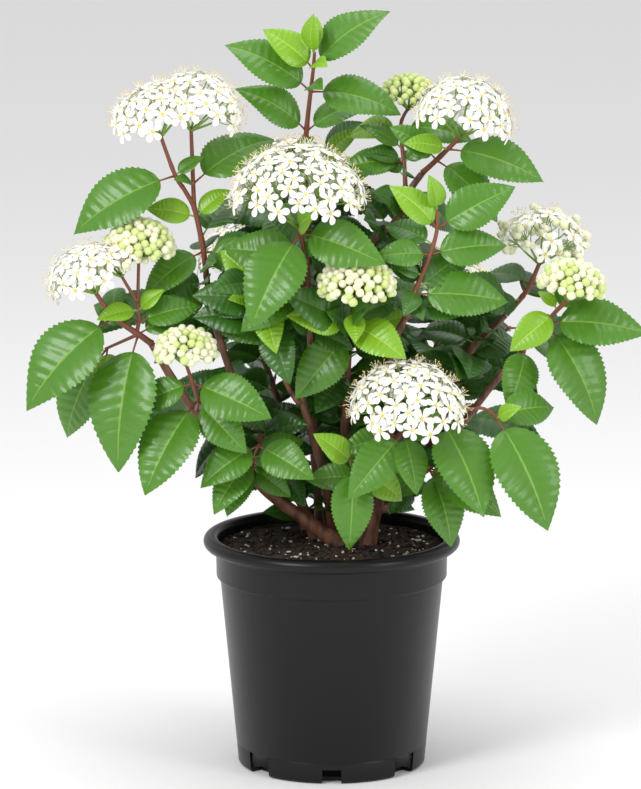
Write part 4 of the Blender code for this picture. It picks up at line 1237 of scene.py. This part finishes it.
def add_blade(piece, leaf, dice):
    """A leaf's toothed and quilted blade, with a paler strip along its midrib."""
    side = leaf.along.cross(leaf.up)
    widest = HALF_WIDTH * dice.uniform(*WIDTH_RANGE)
    curl = dice.uniform(*CURL_RANGE)
    wave = dice.uniform(0, 6)
    corners, faces = [], []
    for row in range(LEAF_ROWS + 1):
        s = row / LEAF_ROWS
        share = PETIOLE_END + (1 - PETIOLE_END) * s
        lift = LEAF_ARCH * 4 * share * (1 - share)
        width = widest * blade_width(s)
        tooth = (TOOTH_DEPTH * ((s * TEETH) % 1.0) - TOOTH_SINK) * min(1, s * TOOTHED_FROM)
        for column in LEAF_COLUMNS:
            out = abs(column)
            reach = column * width * (1 + tooth if out > TOOTH_COLUMN else 1)
            rise = lift + blade_rise(s, out, column, width, wave) + curl * s * s
            point = leaf.foot + (leaf.along * share + leaf.up * rise) * leaf.length
            corners.append(point + side * reach * leaf.length)
    columns = len(LEAF_COLUMNS)
    for row in range(LEAF_ROWS):
        for column in range(columns - 1):
            a = row * columns + column
            faces.append((a, a + 1, a + 1 + columns, a + columns))
    piece.add(corners, faces)
    first = len(piece.finishes) - len(faces) + columns // 2 - 1
    for row in range(LEAF_ROWS - RIB_STOP):
        piece.finishes[first + row * (columns - 1)] = 1


def kind_of(mass, leaf):
    """Whether a leaf is new and lime green, or sits far inside the crown or low at its back and gets a
    darker green as painted shade.
    """
    newest = leaf.length < YOUNG_LENGTH and leaf.share > YOUNG_SHARE
    if newest or (mass == "foliage_middle" and leaf.length < YOUNG_MIDDLE_LENGTH):
        return "bright"
    # Leaves low at the back, and the left centre mass under the crown, get a darker green as painted shade
    behind = leaf.foot.y > SHADE_BEHIND and leaf.foot.z < SHADE_BELOW
    return "deep" if behind or mass == "foliage_left_centre" else "green"


# Inner leaves all get a darker green as painted shade, a little less dark high in the crown
def inner_kind_of(leaf):
    if leaf.foot.z > HIGH_INNER:
        return "inner_high"
    return "inner_left" if leaf.foot.x < 0 else "inner_right"


sprays = {kind: JoinedPiece() for kind in LEAF_COLOURS}
for mass, (_, _, leaves) in plan.items():
    for leaf in leaves:
        add_blade(sprays[kind_of(mass, leaf)], leaf, dice)
for leaf in inner_leaves:
    add_blade(sprays[inner_kind_of(leaf)], leaf, dice)
# The shaded kinds carry painted shade in their blade and rib colours
for kind, (blade, rib) in LEAF_COLOURS.items():
    sprays[kind].place("leaves_" + kind, "foliage", (),
                       finish("leaf_" + kind, blade, 0.36, coat=0.15, grain=0.25, fineness=900.0),
                       finish("rib_" + kind, rib, 0.45))


# Potting soil
# A dark, crumbly bark and peat mix with pale perlite in it, filled in round the stems to
# a little below the rim.

SOIL_RADIUS = COLLAR_RADIUS - WALL - GAP
SOIL_RINGS = 46
SOIL_SIDES = 110
SOIL_LEVEL = 1.4
SOIL_HIGHEST = 0.5
SOIL_DEPTH = 12.0
# Waves of the soil's surface, as heights and rates
SOIL_WAVES = ((1.6, 0.10), (1.1, 0.33))
CRUMBS = 900
CRUMB_MARGIN = 4.0
CRUMB_SIZE = (0.9, 2.9)
CRUMB_DROP = (-0.8, 0.6)
CRUMB_LEVEL = 0.4
CRUMB_LENGTH = (0.7, 1.6)
CRUMB_WIDTH = (0.6, 1.1)
CRUMB_HEIGHT = (0.5, 0.8)
CRUMB_ROUGHNESS = (0.8, 1.15)
CRUMB_TIP = (-0.5, 0.5)
PERLITE_SHARE = 0.16
PERLITE_SIZE = 0.75
CHIP_SHARE = 0.46
SOIL_COLOUR = (0.03, 0.018, 0.012)
SOIL_DARK = (0.010, 0.006, 0.005, 1)
SOIL_LIGHT = (0.075, 0.045, 0.030, 1)
CHIP, PERLITE, PEAT = 1, 2, 3

# The twenty-sided block that each crumb starts from
GOLDEN = (1 + math.sqrt(5)) / 2
BLOCK_CORNERS = (
    (-1, GOLDEN, 0), (1, GOLDEN, 0), (-1, -GOLDEN, 0), (1, -GOLDEN, 0),
    (0, -1, GOLDEN), (0, 1, GOLDEN), (0, -1, -GOLDEN), (0, 1, -GOLDEN),
    (GOLDEN, 0, -1), (GOLDEN, 0, 1), (-GOLDEN, 0, -1), (-GOLDEN, 0, 1),
)
BLOCK_FACES = (
    (0, 11, 5), (0, 5, 1), (0, 1, 7), (0, 7, 10), (0, 10, 11),
    (1, 5, 9), (5, 11, 4), (11, 10, 2), (10, 7, 6), (7, 1, 8),
    (3, 9, 4), (3, 4, 2), (3, 2, 6), (3, 6, 8), (3, 8, 9),
    (4, 9, 5), (2, 4, 11), (6, 2, 10), (8, 6, 7), (9, 8, 1),
)


def add_crumb(piece, centre, size, finish_number, dice):
    """A rough lump with corners pushed in and out at random."""
    stretch = Vector((dice.uniform(*CRUMB_LENGTH), dice.uniform(*CRUMB_WIDTH), dice.uniform(*CRUMB_HEIGHT)))
    turn = Matrix.Rotation(dice.uniform(0, 6.3), 3, "Z")
    tip = Matrix.Rotation(dice.uniform(*CRUMB_TIP), 3, "X")
    corners = []
    for corner in BLOCK_CORNERS:
        reach = Vector(corner).normalized() * stretch * size * dice.uniform(*CRUMB_ROUGHNESS)
        corners.append(centre + (turn @ tip) @ reach)
    piece.add(corners, BLOCK_FACES, finish_number)


def add_ground(piece):
    """The soil's wavy surface, with a short skirt and a flat underside."""
    corners = [Vector((0, 0, SOIL_TOP - 1))]
    for ring in range(1, SOIL_RINGS + 1):
        for k in range(SOIL_SIDES):
            turn = 2 * math.pi * k / SOIL_SIDES
            radius = SOIL_RADIUS * ring / SOIL_RINGS
            place = Vector((radius * math.cos(turn), radius * math.sin(turn), 0))
            height = SOIL_TOP - SOIL_LEVEL
            for rise, rate in SOIL_WAVES:
                height += rise * noise.noise(place * rate)
            corners.append(place + Vector((0, 0, min(height, SOIL_TOP + SOIL_HIGHEST))))
    faces = [(0, 1 + k, 1 + (k + 1) % SOIL_SIDES) for k in range(SOIL_SIDES)]
    for ring in range(SOIL_RINGS - 1):
        for k in range(SOIL_SIDES):
            a, b = 1 + ring * SOIL_SIDES + k, 1 + ring * SOIL_SIDES + (k + 1) % SOIL_SIDES
            faces.append((a, a + SOIL_SIDES, b + SOIL_SIDES, b))
    edge = 1 + (SOIL_RINGS - 1) * SOIL_SIDES
    under = len(corners)
    corners += [point - Vector((0, 0, SOIL_DEPTH)) for point in corners[edge:]]
    for k in range(SOIL_SIDES):
        after = (k + 1) % SOIL_SIDES
        faces.append((edge + k, under + k, under + after, edge + after))
    faces.append(tuple(under + k for k in reversed(range(SOIL_SIDES))))
    piece.add(corners, faces)


soil = JoinedPiece()
add_ground(soil)
for _ in range(CRUMBS):
    radius = (SOIL_RADIUS - CRUMB_MARGIN) * math.sqrt(dice.random())
    turn = dice.uniform(0, 2 * math.pi)
    size = dice.uniform(*CRUMB_SIZE)
    height = SOIL_TOP - CRUMB_LEVEL + dice.uniform(*CRUMB_DROP)
    centre = Vector((radius * math.cos(turn), radius * math.sin(turn), height))
    draw = dice.random()
    if draw < PERLITE_SHARE:
        add_crumb(soil, centre, size * PERLITE_SIZE, PERLITE, dice)
    else:
        add_crumb(soil, centre, size, CHIP if draw < PERLITE_SHARE + CHIP_SHARE else PEAT, dice)
ground = mottled(finish("potting_soil", SOIL_COLOUR, 0.92, grain=0.9, fineness=500.0),
                 SOIL_DARK, SOIL_LIGHT, 190.0, 2.0, (1.0, 1.0, 1.0), (0.0, 1.0))
soil.place("soil_surface", "soil", ["soil"], ground,
           finish("bark_chip", (0.045, 0.022, 0.012), 0.85),
           finish("perlite", (0.62, 0.56, 0.47), 0.9),
           finish("peat_crumb", (0.016, 0.010, 0.008), 0.95))


# Floor, light and camera
# A plain pale floor and soft light from both sides in front and from above, seen from the
# photo's place. Sizes here are in metres.

CAMERA_AWAY = 4.5
CAMERA_HEIGHT = 1.227
CAMERA_ASIDE = -0.0098
CAMERA_PITCH = 0.197
FOCAL_PIXELS = 5260
PICTURE_HEIGHT = 789
FLOOR_SIZE = 30
FLOOR_DROP = 0.0005
SKY_STRENGTH = 0.75

bpy.ops.mesh.primitive_plane_add(size=FLOOR_SIZE, location=(0, 0, -FLOOR_DROP))
floor = bpy.context.object
floor.name = "floor"
floor.data.materials.append(finish("pale_floor", (0.90, 0.90, 0.90), 0.9))

world = bpy.data.worlds.new("studio")
bpy.context.scene.world = world
world.use_nodes = True
sky = world.node_tree.nodes["Background"]
sky.inputs["Color"].default_value = (1, 1, 1, 1)
sky.inputs["Strength"].default_value = SKY_STRENGTH


def soft_light(name, place, aim, size, watts):
    light = bpy.data.lights.new(name, "AREA")
    light.shape = "RECTANGLE"
    light.size, light.size_y = size
    light.energy = watts
    made = bpy.data.objects.new(name, light)
    bpy.context.scene.collection.objects.link(made)
    made.location = place
    made.rotation_euler = (Vector(aim) - Vector(place)).to_track_quat("-Z", "Y").to_euler()


soft_light("key", place=(-1.6, -1.9, 2.0), aim=(0, 0, 0.35), size=(0.9, 1.3), watts=42)
soft_light("fill", place=(1.9, -1.5, 1.1), aim=(0, 0, 0.3), size=(0.8, 1.4), watts=16)
soft_light("top", place=(0.2, 0.3, 2.4), aim=(0, 0, 0.3), size=(1.5, 1.5), watts=16)

camera = bpy.data.cameras.new("camera")
camera.sensor_width = 36
camera.lens = FOCAL_PIXELS * camera.sensor_width / PICTURE_HEIGHT
viewer = bpy.data.objects.new("camera", camera)
bpy.context.scene.collection.objects.link(viewer)
viewer.location = (CAMERA_ASIDE, -CAMERA_AWAY, CAMERA_HEIGHT)
viewer.rotation_euler = (math.pi / 2 - CAMERA_PITCH, 0, 0)
bpy.context.scene.camera = viewer
bpy.context.scene.view_settings.view_transform = "Standard"
